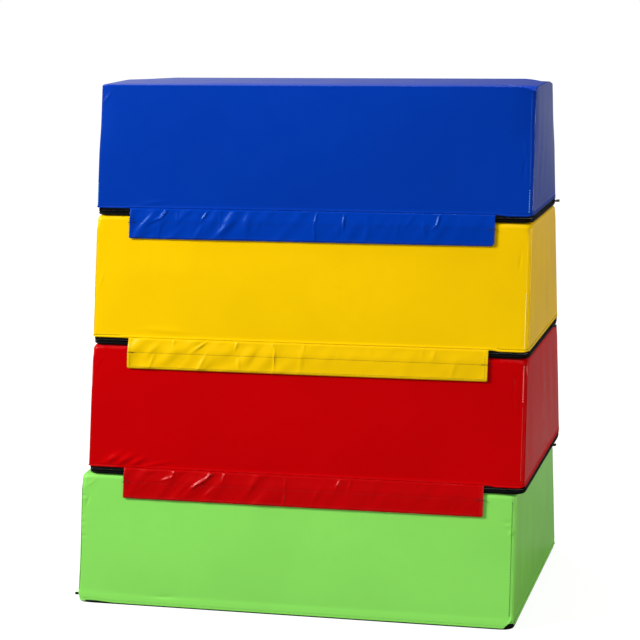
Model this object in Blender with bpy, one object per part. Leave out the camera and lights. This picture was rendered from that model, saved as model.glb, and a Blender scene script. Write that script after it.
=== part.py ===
"""Foam vault trapezoid: four foam blocks in zipped vinyl covers, stacked on each other.

Metres, +Z up. X runs along the vault, the front faces -Y, and the origin is on the floor in the
middle of the footprint. Each block hangs on an empty at the middle of its underside. Flaps, zip
sliders and pull tabs have their origin on the axis that they move on.
"""

import math

import bmesh
import bpy
from mathutils import Vector

# The whole vault
BLOCK_NAMES = ("green", "red", "yellow", "blue")  # from the floor up
BLOCK_HEIGHT = 0.300
LENGTH = 1.035
FLOOR_DEPTH = 0.720  # front to back at the floor
TOP_DEPTH = 0.285  # front to back at the top of the last block
BOTTOM_BLOCK_OFFSET = 0.016  # the bottom block sits this far left of the others, as stacked by hand
TURNED_BLOCKS = ("green",)  # turned half round, so that the zip side faces the back

# The clearance between pieces that touch
FIT_GAP = 0.0003

# The soft shape of a block
TOP_CORNER_RADIUS = 0.013  # the upright corners, seen from above, at the top of a block
ZIP_CORNER_RADIUS = 0.022  # the same corners at the zip, which has to bend round them
EDGE_RADIUS = 0.011  # the edge between the walls and the top
LONG_WALL_CROWN = 0.004  # how far the front and back bow out in their middle
END_WALL_CROWN = 0.003
TOP_CROWN = 0.003  # only the last block, because the others carry a flat one
SEAM_RIDGE = 0.0012  # the sewn seam down each upright corner stands this proud

# Cover, base panel and foam
COVER_THICKNESS = 0.0010
BASE_THICKNESS = 0.0015
BASE_LIP_HEIGHT = 0.004  # the base panel turns up this far, all round
BASE_LIP_THICKNESS = 0.0010
BASE_EDGE_BEVEL = 0.0012
ZIP_BAND = 0.016  # from the underside of a block to the edge of its cover
HEM_HEIGHT = 0.008  # the cover's hem, which stays straight while the wall above it bows out
SLIDER_BACK_ROOM = 0.0008  # between the slider's inner plate and the foam, which is cut back for it
FOAM_RECESS_MARGIN = 0.011  # the foam is cut back this far up past the zip's upper tape
FOAM_BOTTOM_BEVEL = 0.003

# The zip: two tapes, with a row of coil on the edge of each
TAPE_THICKNESS = 0.0008
TAPE_OVERLAP = 0.005  # how far the upper tape runs up behind the hem
TAPE_END = 0.001  # the tapes end this far short of the corners where the sewn side starts
TAIL_OVERLAP = 0.004  # the plain tail, which tucks both in behind the cover, starts this far from there
TAIL_INSET = 0.00015  # the tail is this much thinner than the tapes on each side
COIL_WIDTH = 0.0070  # both rows of coil together
COIL_PROUD = 0.0004  # how far the coil stands out past the cover
COIL_SLOT = 0.0014  # the slot between the rows, for the slider's post
STOP_LENGTH = 0.0045  # the stop that clamps both rows together at each end
STOP_OVERHANG = 0.0006  # how far it runs on past the corner's start, to cover the coil's end
STOP_PROUD = 0.0005  # how far it stands out past the coil

# The zip slider, whose length runs along the zip
SLIDER_LENGTH = 0.012
SLIDER_PLATE = 0.0013
SLIDER_FLANGE = 0.0009
SLIDER_NOSE = 0.0040  # the length of the plates' rounded end
SLIDER_SHOULDER = 0.0006  # how far the plates spread past the flanges, where the nose starts
SLIDER_POST_LENGTH = 0.0044
LUG_LENGTH = 0.0064
LUG_WIDTH = 0.0016
LUG_WALL = 0.0011
LUG_FOOT = 0.0018  # the length of each foot of the lug's arch
# The gap between each slider and the stop at the closed end of its zip
SLIDER_PARKED = {"green": 0.0011, "red": 0.1240, "yellow": 0.0900, "blue": 0.0011}

# The pull tab, which hangs on a pin under the slider's lug
PULL_LENGTH = 0.014
PULL_WIDTH = 0.0060
PULL_THICKNESS = 0.0012
PULL_ARM_WIDTH = 0.0012
PULL_CORNER = 0.0009
PULL_HEEL = 0.00045  # how far the arms run on past the pin's axis
PIN_SIDES = 8
# How far each tab leans from straight out towards the nearer end of its zip, in degrees
PULL_LEAN = {"green": 10.0, "red": 55.0, "yellow": 50.0, "blue": 50.0}

# The flap that hangs over the block below, and its hook and loop strips
FLAP_LENGTHS = {"red": 0.854, "yellow": 0.854, "blue": 0.866}
FLAP_DROP = 0.0525  # how far it hangs below the underside of its block
FLAP_SEAM = 0.002  # how far it is sewn on above the hem
FLAP_THICKNESS = 0.0010
FLAP_FOLD = 0.0015  # how far the folds stand out
FLAP_FOLD_PITCH = 0.171
FLAP_FOLD_LEAN = 0.033  # how far a fold drifts along the flap from the seam to its lower end
FLAP_FOLD_STAGGER = 0.057  # how much further along the folds start on each next flap
STRIP_THICKNESS = 0.0015
STRIP_DROP = 0.0135  # from the underside of the flap's block to the top of its hook strip
STRIP_MARGIN = 0.003  # the hook strip stops this short of the flap's lower edge
STRIP_INSET = 0.006  # the strips stop this short of the flap's ends

# How finely the soft shapes are divided
LONG_WALL_SEGMENTS = 6
END_WALL_SEGMENTS = 4
WALL_ROWS = 4
EDGE_STEPS = 3
FLAP_COLUMNS = 20
FLAP_ROWS = 4  # between the seam and the hook strip
STRIP_COLUMNS = 10
CORNER_TURNS = (0.35, 0.5, 0.65)  # shares of the quarter turn, close together at the seam
SEAM_TURN = 0.5
CROWN_RINGS = ((0.80, 0.6), (0.45, 1.0))  # each ring of the crowned top: its size and share of the rise
SMOOTH_ANGLE = math.radians(35)

# Values that follow from the ones above
VAULT_HEIGHT = BLOCK_HEIGHT * len(BLOCK_NAMES)
HEM_TOP = ZIP_BAND + HEM_HEIGHT
COVER_INSIDE = COVER_THICKNESS + FIT_GAP
TOP_ROUNDING = min(EDGE_RADIUS, TOP_CORNER_RADIUS - COVER_INSIDE)  # the corners leave it this much room
TAPE_BACK = COVER_INSIDE + TAPE_THICKNESS
FOAM_RECESS = TAPE_BACK + FIT_GAP + SLIDER_PLATE + SLIDER_BACK_ROOM
COIL_CENTRE = (BASE_LIP_HEIGHT + ZIP_BAND) / 2
TAPE_BOTTOM = BASE_THICKNESS + FIT_GAP
TAPE_TOP = ZIP_BAND + TAPE_OVERLAP
FOAM_RECESS_TOP = TAPE_TOP + FOAM_RECESS_MARGIN
STRIP_HEIGHT = FLAP_DROP - STRIP_DROP - STRIP_MARGIN
FLAP_HINGE_HEIGHT = ZIP_BAND + FLAP_SEAM
FLAP_HINGE_OFFSET = FIT_GAP + FLAP_THICKNESS / 2
PIN_RADIUS = PULL_THICKNESS / 2

X_AXIS, Y_AXIS, Z_AXIS = Vector((1, 0, 0)), Vector((0, 1, 0)), Vector((0, 0, 1))

# Outward and travel directions of the four walls, anticlockwise seen from above
WALLS = {
    "left": (-X_AXIS, -Y_AXIS),
    "front": (-Y_AXIS, X_AXIS),
    "right": (X_AXIS, Y_AXIS),
    "back": (Y_AXIS, -X_AXIS),
}
WALL_CROWNS = {
    "left": END_WALL_CROWN,
    "front": LONG_WALL_CROWN,
    "right": END_WALL_CROWN,
    "back": LONG_WALL_CROWN,
}

# Finishes: colour, roughness, metallic
FINISHES = {
    "green_vinyl": ((0.22, 0.67, 0.10), 0.32, 0.0),
    "red_vinyl": ((0.46, 0.004, 0.006), 0.28, 0.0),
    "yellow_vinyl": ((0.86, 0.56, 0.01), 0.28, 0.0),
    "blue_vinyl": ((0.004, 0.045, 0.35), 0.28, 0.0),
    "black_vinyl": ((0.012, 0.012, 0.013), 0.45, 0.0),
    "foam": ((0.62, 0.62, 0.60), 0.90, 0.0),
    "zip_tape": ((0.010, 0.010, 0.011), 0.75, 0.0),
    "zip_metal": ((0.015, 0.015, 0.016), 0.35, 0.6),
    "hook_tape": ((0.02, 0.02, 0.02), 0.85, 0.0),
    "loop_tape": ((0.03, 0.03, 0.03), 0.95, 0.0),
}


class Block:
    """One block of the stack: its name, where its underside is and which way it is turned."""

    def __init__(self, level):
        self.name = BLOCK_NAMES[level]
        self.level = level
        self.floor = level * BLOCK_HEIGHT
        self.is_turned = self.name in TURNED_BLOCKS
        self.is_last = level == len(BLOCK_NAMES) - 1
        self.shift = -BOTTOM_BLOCK_OFFSET / 2 if level == 0 else BOTTOM_BLOCK_OFFSET / 2
        self.top = BLOCK_HEIGHT - (TOP_CROWN if self.is_last else FIT_GAP)


def half_depth(height):
    """Half the vault's depth at a height above the floor, without any crown."""
    return (FLOOR_DEPTH - (FLOOR_DEPTH - TOP_DEPTH) * height / VAULT_HEIGHT) / 2


def corner_radius(height):
    """The radius of a block's upright corners at a height above its underside."""
    share = min(max(height / BLOCK_HEIGHT, 0.0), 1.0)
    return ZIP_CORNER_RADIUS + (TOP_CORNER_RADIUS - ZIP_CORNER_RADIUS) * share


def bulge(wall, along, height):
    """How far a wall bows out. The zip and the hem above it stay straight."""
    share = min(max((height - HEM_TOP) / (BLOCK_HEIGHT - HEM_TOP), 0.0), 1.0)
    return WALL_CROWNS[wall] * (1 - along * along) * 4 * share * (1 - share)


def wall_point(block, station, height, offset=0.0):
    """A point of a block's wall, at a height above its underside and an offset outwards.

    A station is a wall and a place along it: -1 to 1 on the straight, 1 to 2 round the corner
    that follows.
    """
    wall, along = station
    outward, travel = WALLS[wall]
    radius = corner_radius(height)
    depth = half_depth(block.floor + height)
    reach, run = (depth, LENGTH / 2) if outward.y else (LENGTH / 2, depth)
    run -= radius
    up = Z_AXIS * height
    if along <= 1:
        return outward * (reach + offset + bulge(wall, along, height)) + travel * run * along + up
    turn = (along - 1) * math.pi / 2
    swing = outward * math.cos(turn) + travel * math.sin(turn)
    return outward * (reach - radius) + travel * run + swing * (radius + offset) + up


def stations_of(wall):
    """The stations along a wall and round the corner after it."""
    segments = LONG_WALL_SEGMENTS if WALLS[wall][0].y else END_WALL_SEGMENTS
    straight = [(wall, -1 + 2 * i / segments) for i in range(segments + 1)]
    return straight + [(wall, 1 + turn) for turn in CORNER_TURNS]


def is_zip_side(station):
    """True along the left, front and right walls, up to where the right wall's straight ends."""
    wall, along = station
    return wall in ("left", "front") or (wall == "right" and along <= 1)


PERIMETER = [station for wall in WALLS for station in stations_of(wall)]
ZIP_STATIONS = [station for station in PERIMETER if is_zip_side(station)]


def smoothed(mesh):
    mesh.shade_smooth()
    mesh.set_sharp_from_angle(angle=SMOOTH_ANGLE)
    return mesh


def mesh_from(bm, name):
    mesh = bpy.data.meshes.new(name)
    bm.to_mesh(mesh)
    bm.free()
    return smoothed(mesh)


def skin(rings, closed_rings=True, cap_first=False, cap_last=False):
    """A bmesh that joins rings or rows of points, each with as many points as the next."""
    bm = bmesh.new()
    loops = [[bm.verts.new(point) for point in ring] for ring in rings]
    for low, high in zip(loops, loops[1:]):
        count = len(low)
        for i in range(count if closed_rings else count - 1):
            j = (i + 1) % count
            bm.faces.new((low[i], low[j], high[j], high[i]))
    if cap_first:
        bm.faces.new(reversed(loops[0]))
    if cap_last:
        bm.faces.new(loops[-1])
    return bm


def faces_outward(bm):
    bmesh.ops.recalc_face_normals(bm, faces=bm.faces)
    return bm


def prism(outline, low, high, axes, origin=None):
    """A closed outline of (a, b) points, extruded from low to high. axes gives the three directions."""
    first, second, third = axes
    start = origin or Vector()
    rings = [
        [start + first * a + second * b + third * level for a, b in outline] for level in (low, high)
    ]
    return faces_outward(skin(rings, cap_first=True, cap_last=True))


def box_outline(a_low, a_high, b_low, b_high):
    return [(a_low, b_low), (a_high, b_low), (a_high, b_high), (a_low, b_high)]


def add_object(name, mesh, finish, parent, location=(0, 0, 0)):
    obj = bpy.data.objects.new(name, mesh)
    bpy.context.scene.collection.objects.link(obj)
    if finish and not mesh.materials:
        mesh.materials.append(bpy.data.materials[finish])
    obj.parent = parent
    obj.location = location
    return obj


def add_empty(name, parent=None, location=(0, 0, 0)):
    empty = bpy.data.objects.new(name, None)
    empty.empty_display_size = 0.05
    bpy.context.scene.collection.objects.link(empty)
    empty.parent = parent
    empty.location = location
    return empty


def thicken(obj, thickness, offset):
    """Gives an open skin its thickness: -1 puts it all inside the skin, 0 puts half on each side."""
    solidify = obj.modifiers.new("Thickness", "SOLIDIFY")
    solidify.thickness = thickness
    solidify.offset = offset
    solidify.use_even_offset = True


def united(name, solids):
    """One mesh that is the union of several closed bmesh solids."""
    body, *others = [
        add_object(f"{name}_solid", mesh_from(bm, f"{name}_solid"), None, None) for bm in solids
    ]
    for other in others:
        join = body.modifiers.new("Join", "BOOLEAN")
        join.operation = "UNION"
        join.object = other
    bpy.context.view_layer.update()
    graph = bpy.context.evaluated_depsgraph_get()
    mesh = bpy.data.meshes.new_from_object(body.evaluated_get(graph))
    mesh.name = name
    for helper in (body, *others):
        bpy.data.objects.remove(helper)
    return smoothed(mesh)


def edge_rows(block, inset):
    """The rounded edge between wall and top, as (height, offset) rows, for a skin inset by that much."""
    radius = TOP_ROUNDING - inset
    turns = [math.pi / 2 * (i + 1) / EDGE_STEPS for i in range(EDGE_STEPS)]
    centre = block.top - TOP_ROUNDING
    return [
        (centre + radius * math.sin(t), -inset - radius * (1 - math.cos(t))) for t in turns
    ]


def top_rings(block, edge_ring):
    """The rings that crown the last block's top. The other tops are flat."""
    if not block.is_last:
        return []
    return [
        [Vector((p.x * size, p.y * size, p.z + TOP_CROWN * rise)) for p in edge_ring]
        for size, rise in CROWN_RINGS
    ]


def wall_rows(block):
    """The heights that divide a block's wall above the hem, up to the rounded edge."""
    low, high = HEM_TOP, block.top - TOP_ROUNDING
    return [low + (high - low) * (i + 1) / WALL_ROWS for i in range(WALL_ROWS)]


def hem_height(station):
    """The height of the cover's edge: over the zip on three sides, down at the base on the fourth."""
    return ZIP_BAND if is_zip_side(station) else BASE_LIP_HEIGHT + FIT_GAP


def seam_ridge(station):
    """How far the sewn seam in the middle of each corner stands out."""
    return SEAM_RIDGE if station[1] == 1 + SEAM_TURN else 0.0


def add_cover(block, parent):
    rings = [[wall_point(block, s, hem_height(s)) for s in PERIMETER]]
    rings += [
        [wall_point(block, s, height, seam_ridge(s)) for s in PERIMETER]
        for height in [HEM_TOP, *wall_rows(block)]
    ]
    rings += [
        [wall_point(block, s, height, offset) for s in PERIMETER]
        for height, offset in edge_rows(block, 0.0)
    ]
    rings += top_rings(block, rings[-1])
    name = f"{block.name}_cover"
    mesh = mesh_from(skin(rings, cap_last=True), name)
    thicken(add_object(name, mesh, f"{block.name}_vinyl", parent), COVER_THICKNESS, -1)


def add_foam_core(block, parent):
    bottom = BASE_THICKNESS + FIT_GAP
    rows = [
        (bottom, -FOAM_RECESS - FOAM_BOTTOM_BEVEL),
        (bottom + FOAM_BOTTOM_BEVEL, -FOAM_RECESS),
        (FOAM_RECESS_TOP, -FOAM_RECESS),
    ]
    rows += [(height, -COVER_INSIDE) for height in wall_rows(block)] + edge_rows(block, COVER_INSIDE)
    rings = [[wall_point(block, s, height, offset) for s in PERIMETER] for height, offset in rows]
    rings += top_rings(block, rings[-1])
    name = f"{block.name}_foam_core"
    mesh = mesh_from(skin(rings, cap_first=True, cap_last=True), name)
    add_object(name, mesh, "foam", parent)


def add_base_panel(block, parent):
    """A shallow tray: the panel, and a lip that the zip tape and the cover are sewn to."""
    rows = [
        (0.0, -BASE_EDGE_BEVEL),
        (BASE_EDGE_BEVEL, 0.0),
        (BASE_LIP_HEIGHT, 0.0),
        (BASE_LIP_HEIGHT, -BASE_LIP_THICKNESS),
        (BASE_THICKNESS, -BASE_LIP_THICKNESS),
    ]
    rings = [[wall_point(block, s, height, offset) for s in PERIMETER] for height, offset in rows]
    name = f"{block.name}_base_panel"
    mesh = mesh_from(skin(rings, cap_first=True, cap_last=True), name)
    add_object(name, mesh, "black_vinyl", parent)


def along_zip(block, profile, stations):
    """A closed profile of (height, offset) points, carried along the stations of a wall."""
    rings = [[wall_point(block, s, height, offset) for height, offset in profile] for s in stations]
    return faces_outward(skin(rings, cap_first=True, cap_last=True))


def tape_solid(block, coil_edge, coil_side, free_edge):
    """One zip tape with its row of coil, between the three heights given."""
    profile = [
        (coil_edge, -TAPE_BACK),
        (coil_edge, COIL_PROUD),
        (coil_side, COIL_PROUD),
        (coil_side, -COVER_INSIDE),
        (free_edge, -COVER_INSIDE),
        (free_edge, -TAPE_BACK),
    ]
    short = TAPE_END / half_depth(block.floor)
    return along_zip(block, profile, [("left", short - 1), *ZIP_STATIONS[1:-1], ("right", 1 - short)])


def tape_tails(block):
    """The plain ends that join both tapes and run round the corners to the sewn side."""
    profile = box_outline(
        TAPE_BOTTOM + TAIL_INSET,
        TAPE_TOP - TAIL_INSET,
        TAIL_INSET - TAPE_BACK,
        -COVER_INSIDE - TAIL_INSET,
    )
    overlap = TAIL_OVERLAP / half_depth(block.floor)
    runs = (
        [("back", 2 - CORNER_TURNS[0]), ("left", -1), ("left", overlap - 1)],
        [("right", 1 - overlap), ("right", 1), ("right", 1 + CORNER_TURNS[0])],
    )
    return [along_zip(block, profile, run) for run in runs]


def stop_solid(block, wall, along):
    """The stop over one end of the coil, which lies where the wall's straight begins or ends."""
    outward, travel = WALLS[wall]
    end = wall_point(block, (wall, along), COIL_CENTRE)
    half_height = COIL_WIDTH / 2 + STOP_PROUD
    outline = box_outline(
        TAPE_THICKNESS / 2 - TAPE_BACK, COIL_PROUD + STOP_PROUD, -half_height, half_height
    )
    axes = (outward, Z_AXIS, -along * travel)
    return prism(outline, -STOP_OVERHANG, STOP_LENGTH - STOP_OVERHANG, axes, end)


def add_zip(block, parent):
    half_slot, half_coil = COIL_SLOT / 2, COIL_WIDTH / 2
    solids = [
        tape_solid(block, COIL_CENTRE + half_slot, COIL_CENTRE + half_coil, TAPE_TOP),
        tape_solid(block, COIL_CENTRE - half_slot, COIL_CENTRE - half_coil, TAPE_BOTTOM),
        *tape_tails(block),
        stop_solid(block, "left", -1),
        stop_solid(block, "right", 1),
    ]
    name = f"{block.name}_zip"
    add_object(name, united(name, solids), "zip_tape", parent)


def slider_mesh():
    """The slider: two plates that hold the coil between them, a post, side flanges and a lug.

    X points out of the block, Y along the zip towards its closed end, and the origin is on the face.
    """
    sideways = (Y_AXIS, Z_AXIS, X_AXIS)
    half_length = SLIDER_LENGTH / 2
    nose_start = half_length - SLIDER_NOSE
    outer_low = COIL_PROUD + FIT_GAP
    outer_high = outer_low + SLIDER_PLATE
    inner_high = -TAPE_BACK - FIT_GAP
    inner_low = inner_high - SLIDER_PLATE
    in_outer_plate = (outer_low + outer_high) / 2
    flange_inside = COIL_WIDTH / 2 + FIT_GAP
    flange_outside = flange_inside + SLIDER_FLANGE
    # The plates are shields: straight at the tail, then a wider round nose
    shoulder = flange_outside + SLIDER_SHOULDER
    nose_turns = [math.radians(angle) for angle in (-90, -45, 0, 45, 90)]
    nose = [(nose_start + SLIDER_NOSE * math.cos(t), shoulder * math.sin(t)) for t in nose_turns]
    shield = [(-half_length, flange_outside), (-half_length, -flange_outside), *nose]
    outer_plate = prism(shield, outer_low, outer_high, sideways)
    inner_plate = prism(shield, inner_low, inner_high, sideways)
    # The post is a long hexagon that parts the coil, and stands in the forward half of the slider
    post_half = COIL_SLOT / 2 - FIT_GAP
    post_end = SLIDER_POST_LENGTH / 2
    post_flat = post_end - post_half
    post_centre = half_length - SLIDER_PLATE - post_end
    post_outline = [
        (post_centre - post_end, 0.0),
        (post_centre - post_flat, -post_half),
        (post_centre + post_flat, -post_half),
        (post_centre + post_end, 0.0),
        (post_centre + post_flat, post_half),
        (post_centre - post_flat, post_half),
    ]
    post = prism(post_outline, (inner_low + inner_high) / 2, in_outer_plate, sideways)
    flange_rear = SLIDER_FLANGE - half_length
    flanges = [
        prism(outline, FIT_GAP - COVER_INSIDE, in_outer_plate, sideways)
        for outline in (
            box_outline(flange_rear, nose_start, flange_inside, flange_outside),
            box_outline(flange_rear, nose_start, -flange_outside, -flange_inside),
        )
    ]
    # The lug is an arch, whose window holds the pull tab's pin with room to turn
    half_lug = LUG_LENGTH / 2
    half_window = half_lug - LUG_FOOT
    window_top = outer_high + 2 * (PIN_RADIUS + FIT_GAP)
    lug_outline = [
        (-half_lug, in_outer_plate),
        (-half_lug, window_top - PIN_RADIUS),
        (-half_lug + LUG_WALL, window_top + LUG_WALL),
        (half_lug - LUG_WALL, window_top + LUG_WALL),
        (half_lug, window_top - PIN_RADIUS),
        (half_lug, in_outer_plate),
        (half_window, in_outer_plate),
        (half_window, window_top),
        (-half_window, window_top),
        (-half_window, in_outer_plate),
    ]
    lug = prism(lug_outline, -LUG_WIDTH / 2, LUG_WIDTH / 2, (Y_AXIS, X_AXIS, Z_AXIS))
    return united("zip_slider", [outer_plate, inner_plate, post, *flanges, lug])


def pull_mesh():
    """The pull tab, lying along +X with its pin on Z through the origin."""
    arm_inside = LUG_WIDTH / 2 + FIT_GAP
    arm_outside = arm_inside + PULL_ARM_WIDTH
    half_width = PULL_WIDTH / 2
    # The plate starts where the swinging tab clears the lug's corners
    plate_start = math.hypot(LUG_LENGTH / 2, PIN_RADIUS) + 2 * FIT_GAP
    upper = [
        (-PULL_HEEL, arm_inside),
        (-PULL_HEEL, arm_outside),
        (plate_start, arm_outside),
        (plate_start + half_width - arm_outside, half_width),
        (PULL_LENGTH - PULL_CORNER, half_width),
        (PULL_LENGTH, half_width - PULL_CORNER),
    ]
    lower = [(a, -b) for a, b in reversed(upper)]
    fork = [(plate_start, arm_inside), *upper, *lower, (plate_start, -arm_inside)]
    plate = prism(fork, -PULL_THICKNESS / 2, PULL_THICKNESS / 2, (X_AXIS, Z_AXIS, Y_AXIS))
    pin_turns = [2 * math.pi * i / PIN_SIDES for i in range(PIN_SIDES)]
    pin_outline = [(PIN_RADIUS * math.cos(t), PIN_RADIUS * math.sin(t)) for t in pin_turns]
    reach = arm_inside + PULL_ARM_WIDTH / 2
    pin = prism(pin_outline, -reach, reach, (X_AXIS, Y_AXIS, Z_AXIS))
    return united("zip_pull", [plate, pin])


def add_slider_and_pull(block, parent, slider_shape, pull_shape):
    """The slider rides on the end wall's straight run. The tab's object turns on the lug's pin."""
    stop_end = wall_point(block, ("right", 1), COIL_CENTRE).y + STOP_OVERHANG - STOP_LENGTH
    centre_y = stop_end - SLIDER_PARKED[block.name] - SLIDER_LENGTH / 2
    place = Vector((LENGTH / 2, centre_y, COIL_CENTRE))
    slider = add_object(f"{block.name}_zip_slider", slider_shape, "zip_metal", parent, place)
    pin_offset = COIL_PROUD + FIT_GAP + SLIDER_PLATE + FIT_GAP + PIN_RADIUS
    pull = add_object(
        f"{block.name}_zip_pull", pull_shape, "zip_metal", slider, Vector((pin_offset, 0, 0))
    )
    pull.rotation_euler = (0, 0, math.radians(PULL_LEAN[block.name]))


def face_reach(block, x, height):
    """How far a block's front or back stands from its middle plane, at x along it."""
    along = x / (LENGTH / 2 - corner_radius(height))
    return half_depth(block.floor + height) + bulge("front", along, height)


def smooth_share(value, start, end):
    share = min(max((value - start) / (end - start), 0.0), 1.0)
    return share * share * (3 - 2 * share)


def flap_fold(x, height, start):
    """The folds that stand out between the seam and the hook strip, and die out at both."""
    share = (FLAP_HINGE_HEIGHT - height) / (FLAP_HINGE_HEIGHT + STRIP_DROP)
    if not 0 < share < 1:
        return 0.0
    turn = 2 * math.pi * (x + start + FLAP_FOLD_LEAN * share) / FLAP_FOLD_PITCH
    return FLAP_FOLD * (1 - math.cos(turn)) / 2 * math.sin(math.pi * share)


def flap_reach(upper, lower, x, height, fold_start):
    """How far the middle of the flap's sheet stands from the vault's middle plane.

    It leaves the seam on the cover's face, passes over the coil, and lies on the strips below.
    """
    at_seam = half_depth(upper.floor + height) + FLAP_HINGE_OFFSET
    over_coil = at_seam + COIL_PROUD
    x_below = x + upper.shift - lower.shift
    strips = 3 * FIT_GAP + 2 * STRIP_THICKNESS + FLAP_THICKNESS / 2
    on_strips = face_reach(lower, x_below, height + BLOCK_HEIGHT) + strips
    coil_top = COIL_CENTRE + COIL_WIDTH / 2
    reach = at_seam + (over_coil - at_seam) * smooth_share(-height, -FLAP_HINGE_HEIGHT, -coil_top)
    reach += (on_strips - over_coil) * smooth_share(-height, 0.0, STRIP_DROP)
    return reach + flap_fold(x, height, fold_start)


def sheet_rows(reach_of, length, columns, heights, side):
    """Rows of points on a front or back face. side is -1 at the front and 1 at the back."""
    xs = [-length / 2 + length * i / columns for i in range(columns + 1)]
    if side > 0:
        xs.reverse()
    return [[Vector((x, side * reach_of(x, height), height)) for x in xs] for height in heights]


def strip_length(upper):
    """The length of the strips that hold the flaps of a block."""
    return FLAP_LENGTHS[upper.name] - 2 * STRIP_INSET


def add_sheet(name, rows, thickness, finish, parent, origin):
    moved = [[point - origin for point in row] for row in rows]
    obj = add_object(name, mesh_from(skin(moved, closed_rings=False), name), finish, parent, origin)
    thicken(obj, thickness, 0)
    return obj


def add_flap(upper, lower, parent, face):
    """A flap, sewn on above the zip band, with the hook strip on its inner face."""
    side = -1 if face == "front" else 1
    hinge_reach = half_depth(upper.floor + FLAP_HINGE_HEIGHT) + FLAP_HINGE_OFFSET
    hinge = Vector((0, side * hinge_reach, FLAP_HINGE_HEIGHT))
    free_height = FLAP_HINGE_HEIGHT + STRIP_DROP
    free_rows = [free_height * (i + 1) / FLAP_ROWS - STRIP_DROP for i in range(FLAP_ROWS)]
    heights = [-FLAP_DROP, -STRIP_DROP, *free_rows]
    fold_start = FLAP_FOLD_STAGGER * (2 * upper.level + (face == "back"))

    def sheet_reach(x, height):
        return flap_reach(upper, lower, x, height, fold_start)

    rows = sheet_rows(sheet_reach, FLAP_LENGTHS[upper.name], FLAP_COLUMNS, heights, side)
    name = f"{upper.name}_{face}_flap"
    flap = add_sheet(name, rows, FLAP_THICKNESS, f"{upper.name}_vinyl", parent, hinge)

    def hook_reach(x, height):
        x_below = x + upper.shift - lower.shift
        return face_reach(lower, x_below, height + BLOCK_HEIGHT) + 2 * FIT_GAP + 1.5 * STRIP_THICKNESS

    strip_heights = [-STRIP_DROP - STRIP_HEIGHT, -STRIP_DROP]
    rows = sheet_rows(hook_reach, strip_length(upper), STRIP_COLUMNS, strip_heights, side)
    name = f"{upper.name}_{face}_hook_strip"
    strip = add_sheet(name, rows, STRIP_THICKNESS, "hook_tape", flap, hinge)
    strip.location = (0, 0, 0)


def add_loop_strip(upper, lower, parent, face):
    """The loop strip sewn on a block's face, under the hook strip of the flap from above."""
    world_side = -1 if face == "front" else 1
    side = -world_side if lower.is_turned else world_side
    centre = upper.shift - lower.shift
    if lower.is_turned:
        centre = -centre

    def loop_reach(x, height):
        return face_reach(lower, x + centre, height) + FIT_GAP + STRIP_THICKNESS / 2

    top = BLOCK_HEIGHT - STRIP_DROP
    heights = [top - STRIP_HEIGHT, top]
    rows = sheet_rows(loop_reach, strip_length(upper), STRIP_COLUMNS, heights, side)
    moved = [[point + X_AXIS * centre for point in row] for row in rows]
    name = f"{lower.name}_{face}_loop_strip"
    add_sheet(name, moved, STRIP_THICKNESS, "loop_tape", parent, Vector())


def add_block(block, below, above, shapes):
    parent = add_empty(f"{block.name}_block", None, Vector((block.shift, 0, block.floor)))
    if block.is_turned:
        parent.rotation_euler = (0, 0, math.pi)
    add_foam_core(block, parent)
    add_cover(block, parent)
    add_base_panel(block, parent)
    add_zip(block, parent)
    add_slider_and_pull(block, parent, *shapes)
    for face in ("front", "back"):
        if below:
            add_flap(block, below, parent, face)
        if above:
            add_loop_strip(above, block, parent, face)


def add_materials():
    for name, (colour, roughness, metallic) in FINISHES.items():
        material = bpy.data.materials.new(name)
        material.use_nodes = True
        shader = material.node_tree.nodes["Principled BSDF"]
        shader.inputs["Base Color"].default_value = (*colour, 1)
        shader.inputs["Roughness"].default_value = roughness
        shader.inputs["Metallic"].default_value = metallic
        material.diffuse_color = (*colour, 1)


def main():
    for obj in list(bpy.data.objects):
        bpy.data.objects.remove(obj)
    add_materials()
    shapes = (slider_mesh(), pull_mesh())
    blocks = [Block(level) for level in range(len(BLOCK_NAMES))]
    for level, block in enumerate(blocks):
        below = blocks[level - 1] if level else None
        above = None if block.is_last else blocks[level + 1]
        add_block(block, below, above, shapes)


main()
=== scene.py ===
"""Looks of the foam vault: covers, flaps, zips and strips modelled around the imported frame.

Metres, +Z up, in the frame of the construction. Each block is worked out in its own frame, whose
origin is in the middle of its underside, and is then turned and put in its place.
"""
import math

import bpy
import numpy as np
from mathutils import Euler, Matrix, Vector


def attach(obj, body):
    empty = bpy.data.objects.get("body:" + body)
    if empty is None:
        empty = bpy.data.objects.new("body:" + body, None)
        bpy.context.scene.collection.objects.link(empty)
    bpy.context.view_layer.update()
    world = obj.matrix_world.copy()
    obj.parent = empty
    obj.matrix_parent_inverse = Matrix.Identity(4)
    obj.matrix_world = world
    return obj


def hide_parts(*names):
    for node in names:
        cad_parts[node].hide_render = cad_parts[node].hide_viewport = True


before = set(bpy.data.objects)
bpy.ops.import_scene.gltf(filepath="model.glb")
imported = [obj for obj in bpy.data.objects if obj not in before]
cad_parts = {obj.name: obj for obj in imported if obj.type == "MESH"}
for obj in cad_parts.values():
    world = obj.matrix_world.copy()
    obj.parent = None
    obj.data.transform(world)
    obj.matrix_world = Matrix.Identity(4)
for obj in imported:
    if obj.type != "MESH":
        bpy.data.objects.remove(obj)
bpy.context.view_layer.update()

# Sizes shared with the construction, under the same names
BLOCK_NAMES = ("green", "red", "yellow", "blue")  # from the floor up
BLOCK_HEIGHT = 0.300
LENGTH = 1.035
FLOOR_DEPTH = 0.720
TOP_DEPTH = 0.285
BOTTOM_BLOCK_OFFSET = 0.016
TURNED_BLOCKS = ("green",)
FIT_GAP = 0.0003
TOP_CORNER_RADIUS = 0.013
ZIP_CORNER_RADIUS = 0.022
EDGE_RADIUS = 0.011
LONG_WALL_CROWN = 0.004
END_WALL_CROWN = 0.003
TOP_CROWN = 0.003
COVER_THICKNESS = 0.0010
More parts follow.
